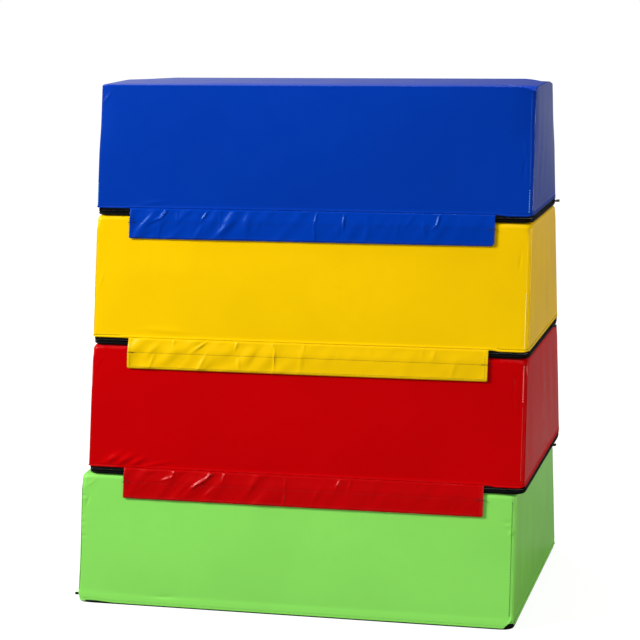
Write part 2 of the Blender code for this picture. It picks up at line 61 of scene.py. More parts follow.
BASE_THICKNESS = 0.0015
BASE_LIP_HEIGHT = 0.004
BASE_LIP_THICKNESS = 0.0010
ZIP_BAND = 0.016
HEM_HEIGHT = 0.008
TAPE_THICKNESS = 0.0008
TAPE_OVERLAP = 0.005
COIL_WIDTH = 0.0070
COIL_PROUD = 0.0004
COIL_SLOT = 0.0014
STOP_LENGTH = 0.0045
STOP_PROUD = 0.0005
SLIDER_PLATE = 0.0013
SLIDER_BACK_ROOM = 0.0008
FOAM_RECESS_MARGIN = 0.011
FLAP_LENGTHS = {"red": 0.854, "yellow": 0.854, "blue": 0.866}
FLAP_DROP = 0.0525
FLAP_SEAM = 0.002
FLAP_THICKNESS = 0.0010
STRIP_THICKNESS = 0.0015
STRIP_DROP = 0.0135
STRIP_MARGIN = 0.003
STRIP_INSET = 0.006

VAULT_HEIGHT = BLOCK_HEIGHT * len(BLOCK_NAMES)
HEM_TOP = ZIP_BAND + HEM_HEIGHT
COVER_INSIDE = COVER_THICKNESS + FIT_GAP
TAPE_BACK = COVER_INSIDE + TAPE_THICKNESS
FOAM_RECESS = TAPE_BACK + FIT_GAP + SLIDER_PLATE + SLIDER_BACK_ROOM
FOAM_RECESS_TOP = ZIP_BAND + TAPE_OVERLAP + FOAM_RECESS_MARGIN
STRIP_HEIGHT = FLAP_DROP - STRIP_DROP - STRIP_MARGIN
COIL_CENTRE = (BASE_LIP_HEIGHT + ZIP_BAND) / 2
FLAP_HINGE_HEIGHT = ZIP_BAND + FLAP_SEAM
FLAP_HINGE_OFFSET = FIT_GAP + FLAP_THICKNESS / 2

# Sewing, which only the looks show
LINING = 0.0011  # the covers' foam-backed lining above the zip's tape
COIL_PITCH = 0.0021
SEWN_HEM = 0.003  # the cover's edge above the floor on the sewn side, where it laps the base's lip
SEWN_FLARE = 0.0012
STITCH_LINE = 0.0056  # the hem's topstitching, from the cover's edge
STITCH_PITCH = 0.0060
KNOT_PITCH = 0.0014
THREAD_RADIUS = 0.00032  # of the loose thread ends
# Kinds of stitches: their length and the radius of their thread
HEM_STITCH = (0.0048, 0.00055)
FLAP_STITCH = (0.0046, 0.00042)
KNOT_STITCH = (0.0036, 0.00070)
# the next kind is the thick stitches whose pale thread paints glints along the corner seams
GLINT_STITCH = (0.0036, 0.0010)
SEAM_STITCHES = {True: (0.0044, 0.0009), False: (0.0044, 0.0004)}  # on a turned block and on the others
HEM_PROUD = 0.0004
HEM_PULL_PITCH = 0.017  # of the puckers above the hem's stitches
HEM_ROLL = 0.0020  # how far the folded edge itself stands out on the end walls
FACE_HEM_SHARE = 0.3  # the hem shows less on the long walls, where the flaps are sewn over it
SEAM_SHARE = 0.39  # where the upright seam runs, as a share of the corner's turn from the long wall
SEAM_HALF_WIDTH = 0.0026
SEAM_PROUD = 0.0006
GROOVE_DEPTH = 0.0004
GROOVE_WIDTH = 0.0010
SEAM_INSETS = (0.0030, 0.0085)  # of the stitches beside the corners, from the left end and the right
# Painted highlights: the corner seams' threads are made paler towards these colours, to paint glints and a
# light line along the seams
PAINTED_GLINT_COLOURS = {"blue": (0.30, 0.75, 1.0), "yellow": (1.0, 0.95, 0.55), "red": (1.0, 0.55, 0.50)}
GLINTS = {"blue": (0.022, 0.080), "yellow": (0.022, 0.150), "red": (0.200, 0.290)}  # heights of the thick, pale stitches that paint glints on the seams
WAIST = 0.0035  # how far the turned block's end falls in on the left
WAIST_HEIGHT = 0.11
WAIST_REACH = 0.07
PUCKER_PITCH = 0.0075
PUCKER_DEPTH = 0.0006
TOP_SEAM_TURN = 0.55  # where the seam of the top panel runs, as a share of the rounded edge
TOP_SEAM_DEPTH = 0.0005
TOP_EDGE_RADIUS = 0.0018  # the edge of the last block's top, which is drawn tight
TOP_SWELL = 0.0060  # how far that edge stands above the construction's
TIGHT_RADIUS = 0.0065  # of the covers' corners between the hem and the top
TIGHT_REACH = 0.020
DROOP_DEPTH = 0.045
CORNER_DROOP = (0.0025, 0.020, 0.020)  # of the top at a corner, and its reach along a long wall and an end
LAST_DROOPS = (  # the same for each corner of the last block, from the front's left end anticlockwise
    (0.0030, 0.015, 0.015),
    (0.0100, 0.026, 0.020),
    (0.0115, 0.042, 0.070),
    (0.0090, 0.060, 0.060),
)
TOP_TILT = 0.0012  # the last block's top stands this much higher at the back and lower at the front
SHOULDER = {"green": 0.0006, "red": 0.0006, "yellow": 0.0005, "blue": 0.0028}  # beside the upper corners
SHOULDER_REACH = 0.028
LOWERED_HEM = 0.0024  # the front's hem is this much lower to the right of the flap
FLAP_STEP = 0.0023  # between the points of a front flap's sheet
FLAP_BORDER = 0.0065  # the flap's folded border, from its edges
FLAP_BACK_FOLDS = 0.0024  # the flap's inner side follows its wrinkles no further out than this
STRIP_SEWN = 0.002  # the rows of stitches, from the strip's edges
NAP_HEIGHT = 0.0007
SOFT_FOLD = 0.0013
SOFT_FOLD_PITCH = 0.038
SOFT_FOLD_LEAN = 52  # in degrees
FOLD_FLOOR = 0.0004
FLAP_EDGE_IN = 0.0012  # how far the flap's lower edge turns in towards the block
FLAP_LIP = 0.0010  # the cover's fold over the flap's seam stands this proud
FLAP_ROUNDING = {"red": 0.005, "yellow": 0.003, "blue": 0.009}  # of the flaps' right lower corners
DARK_SEWN = ("yellow",)  # whose flaps' strips are sewn on with black thread
FLARE_END = (0.010, 0.026)  # a flared hem comes back to the wall between these heights above its edge
FLARE_SOONER = (0.008, 0.016)  # and it does so this much lower behind a flap
PULLED_HEM = 0.0062  # the turned block's cover is pulled down over the zip on the end that shows
PULLED_FLARE = 0.0004
NOTCH_HEIGHT = 0.0145  # and it is drawn up at the corner beside that end
NOTCH_FLARE = 0.0010
RAISED_HEM = 0.0034
RAISED_REACH = 0.034

# The camera, which stands where the photographer's did
CAMERA_PLACE = (1.1820, -4.8126, 1.4810)
CAMERA_YAW = math.radians(13.994)
CAMERA_PITCH = math.radians(9.741)
CAMERA_ROLL = math.radians(-0.593)
CAMERA_LENS = 117.11

# The room's light, where 1 is white
ROOM_DIM = 0.02  # towards the photographer
ROOM_BRIGHT = 0.11
ROOM_TURNS = (-0.85, 0.10)  # between these directions, of which -1 is the photographer's
ROOM_SOFT = 0.38  # what falls on dull surfaces from every side
GLOSSY_BACKDROP = 0.015  # how much more of the white backdrop shows in a reflection
GLOSSY_WINDOW = 0.38  # and how much more of it towards the left behind, between the two directions
WINDOW_TURNS = (-0.10, -0.36)
WINDOW_BEHIND = 0.5
FLOOR_HALF = 60.0
FLOOR_LEVEL = -0.0004
FLOOR_COLOUR = (0.14, 0.14, 0.14)
FLOOR_GLOW = (0.91, 0.975)  # near the vault and far behind it
FLOOR_GLOW_FAR = (1.0, 4.0)
FLOOR_FAR = (2.5, 14.0)  # from here to there the floor behind grows as bright as the backdrop
FLOOR_MIRRORED = 0.26  # how much of that shows in a reflection

# Colours of the pieces
COLOURS = {
    "green": (0.225, 0.655, 0.100),
    "red": (0.470, 0.0, 0.001),
    "yellow": (0.840, 0.520, 0.0),
    "blue": (0.0, 0.034, 0.350),
}
SHEEN = {"green": 0.22, "red": 0.04, "yellow": 0.07, "blue": 0.10}  # the covers' specular level
FLAP_SHADES = {"red": 0.88, "yellow": 0.90, "blue": 1.0}  # against the colour of the covers
# The pigment just under the flaps' skin colours their gloss
FLAP_TINTS = {"red": (1.0, 0.85, 0.8), "yellow": (1.0, 1.0, 0.9), "blue": (0.30, 0.70, 1.0)}

# The walls round a block, anticlockwise from above
LEFT, FRONT, RIGHT, BACK = range(4)
OUTWARD = np.array([(-1, 0), (0, -1), (1, 0), (0, 1)], float)
TRAVEL = np.array([(0, -1), (1, 0), (0, 1), (-1, 0)], float)
CROWNS = np.array([END_WALL_CROWN, LONG_WALL_CROWN, END_WALL_CROWN, LONG_WALL_CROWN])


class Block:
    """One block of the stack: its name, its place and which way it is turned."""

    def __init__(self, level):
        self.name = BLOCK_NAMES[level]
        self.body = f"{self.name}_block"
        self.vinyl = f"{self.name}_vinyl"
        self.thread = "thread" if self.name in DARK_SEWN else f"{self.name}_thread"
        self.level = level
        self.floor = level * BLOCK_HEIGHT
        self.is_turned = self.name in TURNED_BLOCKS
        self.sign = -1.0 if self.is_turned else 1.0
        self.seen_wall = BACK if self.is_turned else FRONT
        self.is_last = level == len(BLOCK_NAMES) - 1
        self.shift = -BOTTOM_BLOCK_OFFSET / 2 if level == 0 else BOTTOM_BLOCK_OFFSET / 2
        self.top = BLOCK_HEIGHT - (TOP_CROWN - TOP_SWELL if self.is_last else FIT_GAP)
        self.half_flap = FLAP_LENGTHS.get(self.name, 0.0) / 2

    def turned(self, directions):
        """Directions of the block's own frame, in the frame of the whole vault."""
        return directions * (self.sign, self.sign, 1.0)

    def placed(self, points):
        """Points of the block's own frame, in the frame of the whole vault."""
        return self.turned(points) + (self.shift, 0.0, self.floor)


def smooth_share(value, start, end):
    share = np.clip((value - start) / (end - start), 0.0, 1.0)
    return share * share * (3 - 2 * share)


def half_depth(height):
    """Half the vault's depth at a height above the floor, without any crown."""
    return (FLOOR_DEPTH - (FLOOR_DEPTH - TOP_DEPTH) * height / VAULT_HEIGHT) / 2


def corner_radius(height):
    share = np.clip(height / BLOCK_HEIGHT, 0.0, 1.0)
    return ZIP_CORNER_RADIUS + (TOP_CORNER_RADIUS - ZIP_CORNER_RADIUS) * share


def crown_share(height):
    share = np.clip((height - HEM_TOP) / (BLOCK_HEIGHT - HEM_TOP), 0.0, 1.0)
    return 4 * share * (1 - share)


def divisions(low, high, step, lines=(), fine=0.0007):
    """Even divisions from low to high, with finer ones at both ends and along each line."""
    even = np.linspace(low, high, max(2, round((high - low) / step) + 1))
    near = [line + fine * k for line in lines for k in (-2, -1, 0, 1, 2)]
    ends = [low + fine * k for k in (1, 2.5)] + [high - fine * k for k in (1, 2.5)]
    values = sorted(v for v in [*even, *near, *ends] if low <= v <= high)
    kept = [low]
    for value in values:
        if value - kept[-1] > fine * 0.6:
            kept.append(value)
    kept[-1] = high
    return np.array(kept)


def ripple(a, b, scale, seed):
    """A smooth, uneven field of about -1 to 1 over the places (a, b), with waves near the scale."""
    draw = np.random.default_rng(seed)
    total = 0.0
    for _ in range(6):
        angle = draw.uniform(0, math.pi)
        wave = 2 * math.pi / (scale * draw.uniform(0.7, 1.6))
        phase = draw.uniform(0, 2 * math.pi)
        total = total + np.sin(wave * (a * math.cos(angle) + b * math.sin(angle)) + phase)
    return total / 3.2


def bump_at(distance, width):
    return np.exp(-((distance / width) ** 2))


def crease(a, b, at_a, at_b, angle, length, width, rise):
    """A ridge, or for a negative rise a furrow, that lies at an angle in degrees over (a, b)."""
    turn = math.radians(angle)
    da, db = a - at_a, b - at_b
    along = da * math.cos(turn) + db * math.sin(turn)
    across = db * math.cos(turn) - da * math.sin(turn)
    return rise * bump_at(across, width) * bump_at(along, length / 2)


class Ring:
    """Places round a block, anticlockwise from above: along each wall, then round its corner.

    Creases are put on the long wall that faces the camera, which is divided finely where they are.
    """

    def __init__(self, block, step, corner_steps, creases=()):
        middle = BLOCK_HEIGHT / 2
        radius = corner_radius(middle)
        arc = radius * math.pi / 2
        walls, along, seam, u = [], [], [], []
        for wall in range(4):
            is_long = wall in (FRONT, BACK)
            run = (LENGTH / 2 if is_long else half_depth(block.floor + middle)) - radius
            lines = [0.004, 0.008, 0.012, 0.016]
            lines += [2 * run - x for x in lines]
            if wall == block.seen_wall:
                for place, _, _, length, _, _ in creases:
                    lines += list(run + np.arange(place - length / 2, place + length / 2, 0.005))
            places = divisions(0, 2 * run, step, lines, 0.0012)
            to_corner = np.minimum(places, 2 * run - places)
            if is_long:
                straight_seam = -SEAM_SHARE * arc - to_corner
            else:
                straight_seam = (1 - SEAM_SHARE) * arc + to_corner
            turns = np.arange(1, corner_steps) / corner_steps
            long_share = turns if is_long else 1 - turns
            walls += [wall] * (len(places) + len(turns))
            along += [*(places / run - 1), *(1 + turns)]
            seam += [*straight_seam, *((long_share - SEAM_SHARE) * arc)]
            u += [*(places - run), *(run + turns * arc)]
        self.wall = np.array(walls)
        self.along = np.array(along)
        self.seam = np.array(seam)  # signed distance from the nearest upright seam
        self.u = np.array(u)  # distance along the wall from its middle
        self.turn = np.clip(self.along - 1, 0, 1)
        self._settle()

    def _settle(self):
        self.is_long = (self.wall == FRONT) | (self.wall == BACK)
        self.on_long = self.is_long & (self.turn == 0)
        self.straight = np.minimum(self.along, 1)
        self.outward = OUTWARD[self.wall]
        self.travel = TRAVEL[self.wall]
        angle = self.turn * math.pi / 2
        self.swing = self.outward * np.cos(angle)[:, None] + self.travel * np.sin(angle)[:, None]
        self.crown = CROWNS[self.wall] * (1 - self.straight**2)
        self.count = len(self.wall)

    def part(self, chosen):
        """The ring's places that are chosen, in their order."""
        other = object.__new__(Ring)
        for key in ("wall", "along", "seam", "u", "turn"):
            setattr(other, key, getattr(self, key)[chosen])
        other._settle()
        return other


def tight_radius(block, height):
    """The radius of a cover's corners, which are drawn tighter between the hem and the top."""
    share = smooth_share(height, HEM_TOP - TIGHT_REACH, HEM_TOP)
    if not block.is_last:
        edge = block.top - EDGE_RADIUS
        share = share * (1 - smooth_share(height, edge - 1.5 * TIGHT_REACH, edge))
    return corner_radius(height) + (TIGHT_RADIUS - corner_radius(height)) * share


def wall_points(block, ring, heights, offsets=0.0, is_cover=False):
    """Rows of points round a block. Heights and offsets are numbers, or arrays of rows and places."""
    heights = np.asarray(heights, float)
    radius = tight_radius(block, heights) if is_cover else corner_radius(heights)
    depth = half_depth(block.floor + heights)
    reach = np.where(ring.is_long, depth, LENGTH / 2) - radius
    run = (np.where(ring.is_long, LENGTH / 2, depth) - radius) * ring.straight
    out = radius + offsets + ring.crown * crown_share(heights)
    x = ring.outward[:, 0] * reach + ring.travel[:, 0] * run + ring.swing[:, 0] * out
    y = ring.outward[:, 1] * reach + ring.travel[:, 1] * run + ring.swing[:, 1] * out
    z = np.broadcast_to(heights, x.shape)
    return np.stack([x, y, z], -1)


def unit(vectors):
    return vectors / np.linalg.norm(vectors, axis=1)[:, None]


def wall_normals(ring):
    slope = (FLOOR_DEPTH - TOP_DEPTH) / 2 / VAULT_HEIGHT
    return unit(np.concatenate([ring.swing, (slope * np.abs(ring.swing[:, 1]))[:, None]], 1))


def drawn_in(line, sizes):
    """Copies of a closed line round the middle, each drawn in to a size."""
    return np.stack([line * (size, size, 1.0) for size in sizes])


def grid_faces(rows, columns, is_closed=False):
    """Quads over a grid of points. A closed grid joins each row's last point to its first."""
    low = np.arange(rows - 1)[:, None] * columns
    here = np.arange(columns if is_closed else columns - 1)[None, :]
    after = (here + 1) % columns
    quads = [low + here, low + after, low + columns + after, low + columns + here]
    return np.stack(quads, -1).reshape(-1, 4).tolist()


def tube_faces(rows, columns):
    """The faces of rings of points that are joined and closed at both ends."""
    caps = [list(range(columns))[::-1], list(range((rows - 1) * columns, rows * columns))]
    return grid_faces(rows, columns, True) + caps


def add_object(name, data):
    obj = bpy.data.objects.new(name, data)
    bpy.context.scene.collection.objects.link(obj)
    return obj


class Shape:
    """A mesh in the making: points, faces, and how worn each point is."""

    def __init__(self):
        self.points, self.faces, self.wear = [], [], []
        self.count = 0

    def add(self, points, faces, wear=None):
        points = np.asarray(points, float).reshape(-1, 3)
        self.points.append(points)
        self.faces += [[i + self.count for i in face] for face in faces] if self.count else faces
        self.wear.append(np.zeros(len(points)) if wear is None else np.asarray(wear).reshape(-1))
        self.count += len(points)

    def add_tube(self, rings, wear=None):
        """Joins rings of points and closes both ends."""
        rings = np.asarray(rings, float)
        self.add(rings, tube_faces(*rings.shape[:2]), wear)

    def add_slab(self, outer, inner, wear=None):
        """Two grids of points, back to back, joined along their border."""
        rows, columns = outer.shape[:2]
        size = rows * columns
        faces = grid_faces(rows, columns)
        faces += [[i + size for i in face[::-1]] for face in faces]
        border = [*range(columns), *range(2 * columns - 1, size, columns)]
        border += [*range(size - 2, size - columns - 1, -1)]
        border += [*range(size - 2 * columns, 0, -columns)]
        for here, after in zip(border, border[1:] + border[:1]):
            faces.append([after, here, here + size, after + size])
        both = None if wear is None else np.concatenate([wear.reshape(-1)] * 2)
        self.add(np.concatenate([outer.reshape(-1, 3), inner.reshape(-1, 3)]), faces, both)

    def object(self, name, material, body, slot, replaces=(), smooth_angle=50):
        mesh = bpy.data.meshes.new(name)
        mesh.from_pydata(np.concatenate(self.points), [], self.faces)
        mesh.validate()
        mesh.shade_smooth()
        mesh.set_sharp_from_angle(angle=math.radians(smooth_angle))
        wear = mesh.attributes.new("wear", "FLOAT", "POINT")
        wear.data.foreach_set("value", np.concatenate(self.wear).astype(np.float32))
        mesh.materials.append(materials[material])
        obj = add_object(name, mesh)
        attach(obj, body)
        if replaces:
            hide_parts(*replaces)
        return obj


def along_path(path, facing, pitch):
    """Places at an even pitch along a path of points, each with its travel and outward direction."""
    lengths = np.concatenate([[0], np.cumsum(np.linalg.norm(np.diff(path, axis=0), axis=1))])

    def at(distances, values):
        return np.stack([np.interp(distances, lengths, column) for column in values.T], -1)

    middles = np.arange(pitch / 2, lengths[-1] - pitch / 2, pitch)
    travel = unit(at(middles + pitch / 4, path) - at(middles - pitch / 4, path))
    outward = at(middles, np.broadcast_to(facing, path.shape))
    outward = unit(outward - travel * np.sum(outward * travel, axis=1)[:, None])
    return at(middles, path), travel, outward


def add_copies(shape, rings, places, travel, outward):
    """Copies a small closed tube to many places. Its rings hold (travel, sideways, outward) points."""
    rings = np.asarray(rings, float)
    flat = rings.reshape(-1, 3)
    axes = (travel, np.cross(outward, travel), outward)
    along, across, out = (flat[None, :, k : k + 1] * axis[:, None, :] for k, axis in enumerate(axes))
    faces = tube_faces(*rings.shape[:2])
    many = [[i + len(flat) * k for i in face] for k in range(len(places)) for face in faces]
    shape.add(places[:, None, :] + (along + across + out), many)


def stitch_rings(length, radius):
    """One stitch: a bead of thread that dives into the sheet at both ends."""
    angles = np.arange(5) * 2 * math.pi / 5
    rings = []
    for share, size, sink in ((-0.5, 0.55, 0.9), (-0.3, 1.0, 0.0), (0.3, 1.0, 0.0), (0.5, 0.55, 0.9)):
        wide, deep = size * radius, sink * radius
        rings.append([(share * length, wide * math.cos(t), wide * math.sin(t) - deep) for t in angles])
    return rings


def sew(shape, path, facing, stitch, pitch=STITCH_PITCH):
    """Stitches of one kind along a path of points."""
    add_copies(shape, stitch_rings(*stitch), *along_path(path, facing, pitch))


def stretches(chosen):
    """The runs of chosen places round a closed ring, each as its places' indexes."""
    order = (np.arange(len(chosen)) + int(np.argmin(chosen))) % len(chosen)
    cuts = np.flatnonzero(np.diff(chosen[order].astype(int))) + 1
    return [run for run in np.split(order, cuts) if chosen[run[0]]]


# The materials


class Nodes:
    """A tree of nodes, added by short calls that each return an output socket."""

    def __init__(self, owner, space="Object"):
        owner.use_nodes = True
        self.tree = owner.node_tree
        self.coordinates = self.node("ShaderNodeTexCoord", {}, space)

    def fill(self, node, inputs):
        for key, value in inputs.items():
            if isinstance(value, bpy.types.NodeSocket):
                self.tree.links.new(value, node.inputs[key])
            else:
                node.inputs[key].default_value = value

    def node(self, kind, inputs, output=0, **settings):
        node = self.tree.nodes.new(kind)
        for key, value in settings.items():
            setattr(node, key, value)
        self.fill(node, inputs)
        return node.outputs[output]

    def axis(self, letter):
        return self.node("ShaderNodeSeparateXYZ", {0: self.coordinates}, letter)

    def ray(self, kind):
        return self.node("ShaderNodeLightPath", {}, f"Is {kind} Ray")

    def noise(self, scale, detail, distortion=0.0):
        inputs = {"Vector": self.coordinates, "Scale": scale, "Detail": detail, "Distortion": distortion}
        return self.node("ShaderNodeTexNoise", inputs)

    def spread(self, value, low, high, to_low=0, to_high=1, kind="SMOOTHSTEP"):
        inputs = {0: value, 1: low, 2: high, 3: to_low, 4: to_high}
        return self.node("ShaderNodeMapRange", inputs, interpolation_type=kind)

    def patches(self, scale, detail, *limits):
        return self.spread(self.noise(scale, detail), *limits)

    def maths(self, operation, first, second):
        return self.node("ShaderNodeMath", {0: first, 1: second}, operation=operation)

    def blend(self, share, first, second):
        """A number between two others. Sockets 2 and 3 are the mix node's numbers."""
        return self.node("ShaderNodeMix", {0: share, 2: first, 3: second})

    def mix(self, share, *colours):
        """A colour between two others. Sockets 6 and 7 are the mix node's colours."""
        first, second = (c if isinstance(c, bpy.types.NodeSocket) else (*c, 1) for c in colours)
        return self.node("ShaderNodeMix", {0: share, 6: first, 7: second}, 2, data_type="RGBA")

    def backdrop_share(self, camera_share, glossy_share):
        """How much of the white backdrop a ray sees: all of it from the camera, some in a reflection."""
        shares = (("Camera", camera_share), ("Transmission", camera_share), ("Glossy", glossy_share))
        camera, through, glossy = (self.maths("MULTIPLY", self.ray(kind), share) for kind, share in shares)
        return self.maths("MAXIMUM", self.maths("MAXIMUM", camera, through), glossy)


class Graph(Nodes):
    """The nodes of one material."""

    def __init__(self, name, metallic=0.0, specular=0.5):
        self.material = bpy.data.materials.new(name)
        super().__init__(self.material)
        self.shader = self.tree.nodes["Principled BSDF"]
        self.fill(self.shader, {"Metallic": metallic, "Specular IOR Level": specular})

    def weave(self, pitch):
        """A fine grid of humps that shows on a face that looks along any axis."""
        kind = "ShaderNodeVectorMath"
        place = self.node(kind, {0: self.coordinates, "Scale": 2 * math.pi / pitch}, operation="SCALE")
        waves = self.node(kind, {0: place}, operation="SINE")
        return self.node(kind, {0: waves, 1: (1, 1, 1)}, 1, operation="DOT_PRODUCT")

    def worn(self, share):
        """Where the surface is worn: at its marked edges, in patches."""
        marked = self.node("ShaderNodeAttribute", {}, 2, attribute_name="wear")
        worn = self.maths("MULTIPLY", marked, self.patches(70, 5, 0.42, 0.62))
        return self.maths("MULTIPLY", worn, share)

    def finish(self, colour, roughness, *bumps):
        """Links the colour and roughness, and each bump's height, distance and strength."""
        inputs = {}
        for height, distance, strength in bumps:
            inputs.update({"Height": height, "Distance": distance, "Strength": strength})
            inputs["Normal"] = self.node("ShaderNodeBump", inputs)
        self.fill(self.shader, {"Base Color": colour, "Roughness": roughness, "Normal": inputs["Normal"]})
        return self.material


def scaled(colour, factor):
    return tuple(min(1.0, c * factor) for c in colour)


def towards(colour, other, share):
    return tuple(c + (o - c) * share for c, o in zip(colour, other))


def vinyl(name, colour, gloss, specular, tint=(1.0, 1.0, 1.0)):
    """Coated fabric: a glossy skin with the weave just showing through, dulled where it is handled."""
    graph = Graph(name, specular=specular)
    graph.shader.inputs["Specular Tint"].default_value = (*tint, 1.0)
    shade = graph.mix(graph.patches(4.5, 3, 0.3, 0.7), scaled(colour, 0.97), scaled(colour, 1.03))
    shade = graph.mix(graph.patches(38, 4, 0.35, 0.7, 0, 0.35), shade, scaled(colour, 0.98))
    shade = graph.mix(graph.worn(0.06), shade, towards(colour, (0.8, 0.8, 0.8), 0.25))
    dull = graph.spread(graph.noise(13, 5, 0.6), 0.35, 0.7, gloss, gloss + 0.03)
    soft, grain = (graph.noise(16, 2), 0.0010, 0.05), (graph.noise(900, 3), 0.00004, 0.25)
    rough = graph.maths("ADD", dull, graph.worn(0.05))
    return graph.finish(shade, rough, soft, grain, (graph.weave(0.0012), 0.00003, 0.15))


def black_vinyl():
    graph = Graph("black_vinyl", specular=0.06)
    shade = graph.mix(graph.patches(22, 5, 0.4, 0.75), (0.0016, 0.0016, 0.0017), (0.0032, 0.0032, 0.0034))
    shade = graph.mix(graph.worn(0.4), shade, (0.009, 0.009, 0.009))
    rough = graph.patches(15, 4, 0.3, 0.7, 0.28, 0.38)
    return graph.finish(shade, rough, (graph.noise(420, 3), 0.0001, 0.3), (graph.weave(0.0014), 0.00005, 0.2))


def woven(name, colour, lighter, pitch, roughness):
    """Narrow woven tape: ribs of thread, without gloss."""
    graph = Graph(name, specular=0.06)
    threads = graph.spread(graph.weave(pitch), -1.2, 1.2)
    rough = graph.patches(60, 3, 0.3, 0.7, roughness - 0.05, roughness + 0.05)
    bumps = (threads, 0.0003, 0.6), (graph.noise(260, 2), 0.0003, 0.3)
    return graph.finish(graph.mix(threads, colour, lighter), rough, *bumps)


def speckled(name, colours, patches, rough, bump, metallic=0.0, specular=0.5):
    """A material in two close colours. Each of its three noises starts with a scale and a detail.

    The patches' noise goes on with its limits, the roughness's with the least and the most rough,
    and the bump's with its distance and strength.
    """
    graph = Graph(name, metallic, specular)
    shade = graph.mix(graph.patches(*patches), *colours)
    roughness = graph.patches(*rough[:2], 0.3, 0.7, *rough[2:])
    return graph.finish(shade, roughness, (graph.noise(*bump[:2]), *bump[2:]))


def napped(name, colours, scale, height):
    """Hook or loop tape: a dense nap of fibres."""
    return speckled(name, colours, (scale, 4, 0.35, 0.7), (scale, 4, 0.85, 0.97), (scale, 4, height, 0.9))


def thread(name, colour, roughness=0.65):
    colours = scaled(colour, 0.7), scaled(colour, 1.3)
    rough = (300, 2, roughness - 0.1, roughness + 0.1)
    return speckled(name, colours, (1500, 2, 0.3, 0.7), rough, (1500, 2, 0.0002, 0.5), specular=0.2)


def make_materials():
    made = {}
    for name, colour in COLOURS.items():
        made[name] = vinyl(f"{name}_vinyl", colour, 0.19, SHEEN[name])
        made[f"{name}_thread"] = thread(f"{name}_thread", scaled(colour, 0.8))
        seam_colour = scaled(colour, 0.16)
        if name in FLAP_LENGTHS:
            flap_colour = scaled(colour, FLAP_SHADES[name])
            made[f"{name}_flap"] = vinyl(f"{name}_flap_vinyl", flap_colour, 0.22, 0.10, FLAP_TINTS[name])
            # Painted highlights: the seam thread is a little paler than the vinyl, and the thread of the
            # thick seam stitches much paler, to paint glints along the corner seams
            seam_colour = towards(colour, PAINTED_GLINT_COLOURS[name], 0.2)
            painted_glint_colour = towards(colour, PAINTED_GLINT_COLOURS[name], 0.75)
            made[f"{name}_tight_thread"] = thread(f"{name}_tight_thread", painted_glint_colour, 0.3)
        made[f"{name}_seam_thread"] = thread(f"{name}_seam_thread", seam_colour)
    made["thread"] = thread("black_thread", (0.008, 0.008, 0.008))
    made["black_vinyl"] = black_vinyl()
    made["zip_tape"] = woven("zip_tape", (0.003, 0.003, 0.0035), (0.009, 0.009, 0.0095), 0.0009, 0.75)
    made["hook_tape"] = napped("hook_tape", [(0.010, 0.010, 0.010), (0.035, 0.035, 0.036)], 900, 0.0008)
    made["loop_tape"] = napped("loop_tape", [(0.014, 0.014, 0.014), (0.050, 0.050, 0.050)], 450, 0.0012)
    nylon = [(0.0022, 0.0022, 0.0024), (0.0045, 0.0045, 0.0050)]
    bump = (500, 2, 0.0001, 0.2)
    made["coil"] = speckled("coil_nylon", nylon, (90, 2, 0.3, 0.7), (40, 2, 0.30, 0.42), bump, specular=0.07)
    # Cast zinc with a black coat that has worn thin in places
    zinc = [(0.006, 0.006, 0.007), (0.055, 0.055, 0.060)]
    patches, rough, bump = (420, 4, 0.56, 0.72), (160, 3, 0.28, 0.46), (900, 2, 0.00006, 0.4)
    made["zip_metal"] = speckled("zip_metal", zinc, patches, rough, bump, 0.6, 0.3)
    pale = [(0.42, 0.42, 0.40), (0.66, 0.66, 0.63)]
    cells = (340, 4, 0.35, 0.65), (340, 4, 0.85, 0.98), (340, 4, 0.001, 0.8)
    made["foam"] = speckled("open_foam", pale, *cells)
    return made


# The covers


def hem_line(block, ring):
    """The cover's lower edge at each place: its height and how far it flares out."""
    at_right = (ring.wall == RIGHT) & (ring.turn > 0)
    at_left = (ring.wall == BACK) & (ring.turn > 0)
    sewn = np.where(ring.wall == BACK, 1.0, 0.0)
    sewn = np.where(at_right, smooth_share(ring.turn, 0.05, 0.45), sewn)
    sewn = np.where(at_left, 1 - smooth_share(ring.turn, 0.55, 0.95), sewn)
    height = ZIP_BAND + (SEWN_HEM - ZIP_BAND) * sewn
    flare = SEWN_FLARE * sewn
    if not block.is_turned:
        lowered = smooth_share(ring.u - block.half_flap, 0.004, 0.024) * (ring.wall == FRONT)
        lowered = lowered * (1 - smooth_share(ring.turn, 0.0, 0.7))
        return height - LOWERED_HEM * lowered, flare
    pulled = np.where(ring.wall == LEFT, 1 - smooth_share(ring.turn, 0.1, 0.8), 0.0)
    pulled = np.where(at_left, smooth_share(ring.turn, 0.72, 0.98), pulled)
    height = height + (PULLED_HEM - height) * pulled
    flare = flare + (PULLED_FLARE - flare) * pulled
    notch = smooth_share(ring.turn, 0.02, 0.22) * (1 - smooth_share(ring.turn, 0.66, 0.92))
    height = height + (NOTCH_HEIGHT - height) * np.where(at_left, notch, 0.0)
    flare = flare + NOTCH_FLARE * np.where(at_left, notch, 0.0)
    raised = bump_at(ring.u + LENGTH / 2 - RAISED_REACH, RAISED_REACH) * (ring.wall == BACK)
    return height + RAISED_HEM * raised * (ring.turn == 0), flare


def droop_corners(block, ring, points):
    """Lowers the upper part of a skin towards the corners, as a soft block does."""
    corner = np.where(ring.u < 0, ring.wall - 1, ring.wall) % 4
    depth, along_wall, along_end = np.array(LAST_DROOPS if block.is_last else [CORNER_DROOP] * 4)[corner].T
    droop = depth * bump_at(ring.seam, np.where(ring.seam < 0, along_wall, along_end))
    if block.is_last:
        droop = droop - TOP_TILT * points[..., 1] / (TOP_DEPTH / 2)
    points[..., 2] -= droop * smooth_share(points[..., 2], block.top - DROOP_DEPTH, block.top)
    return points


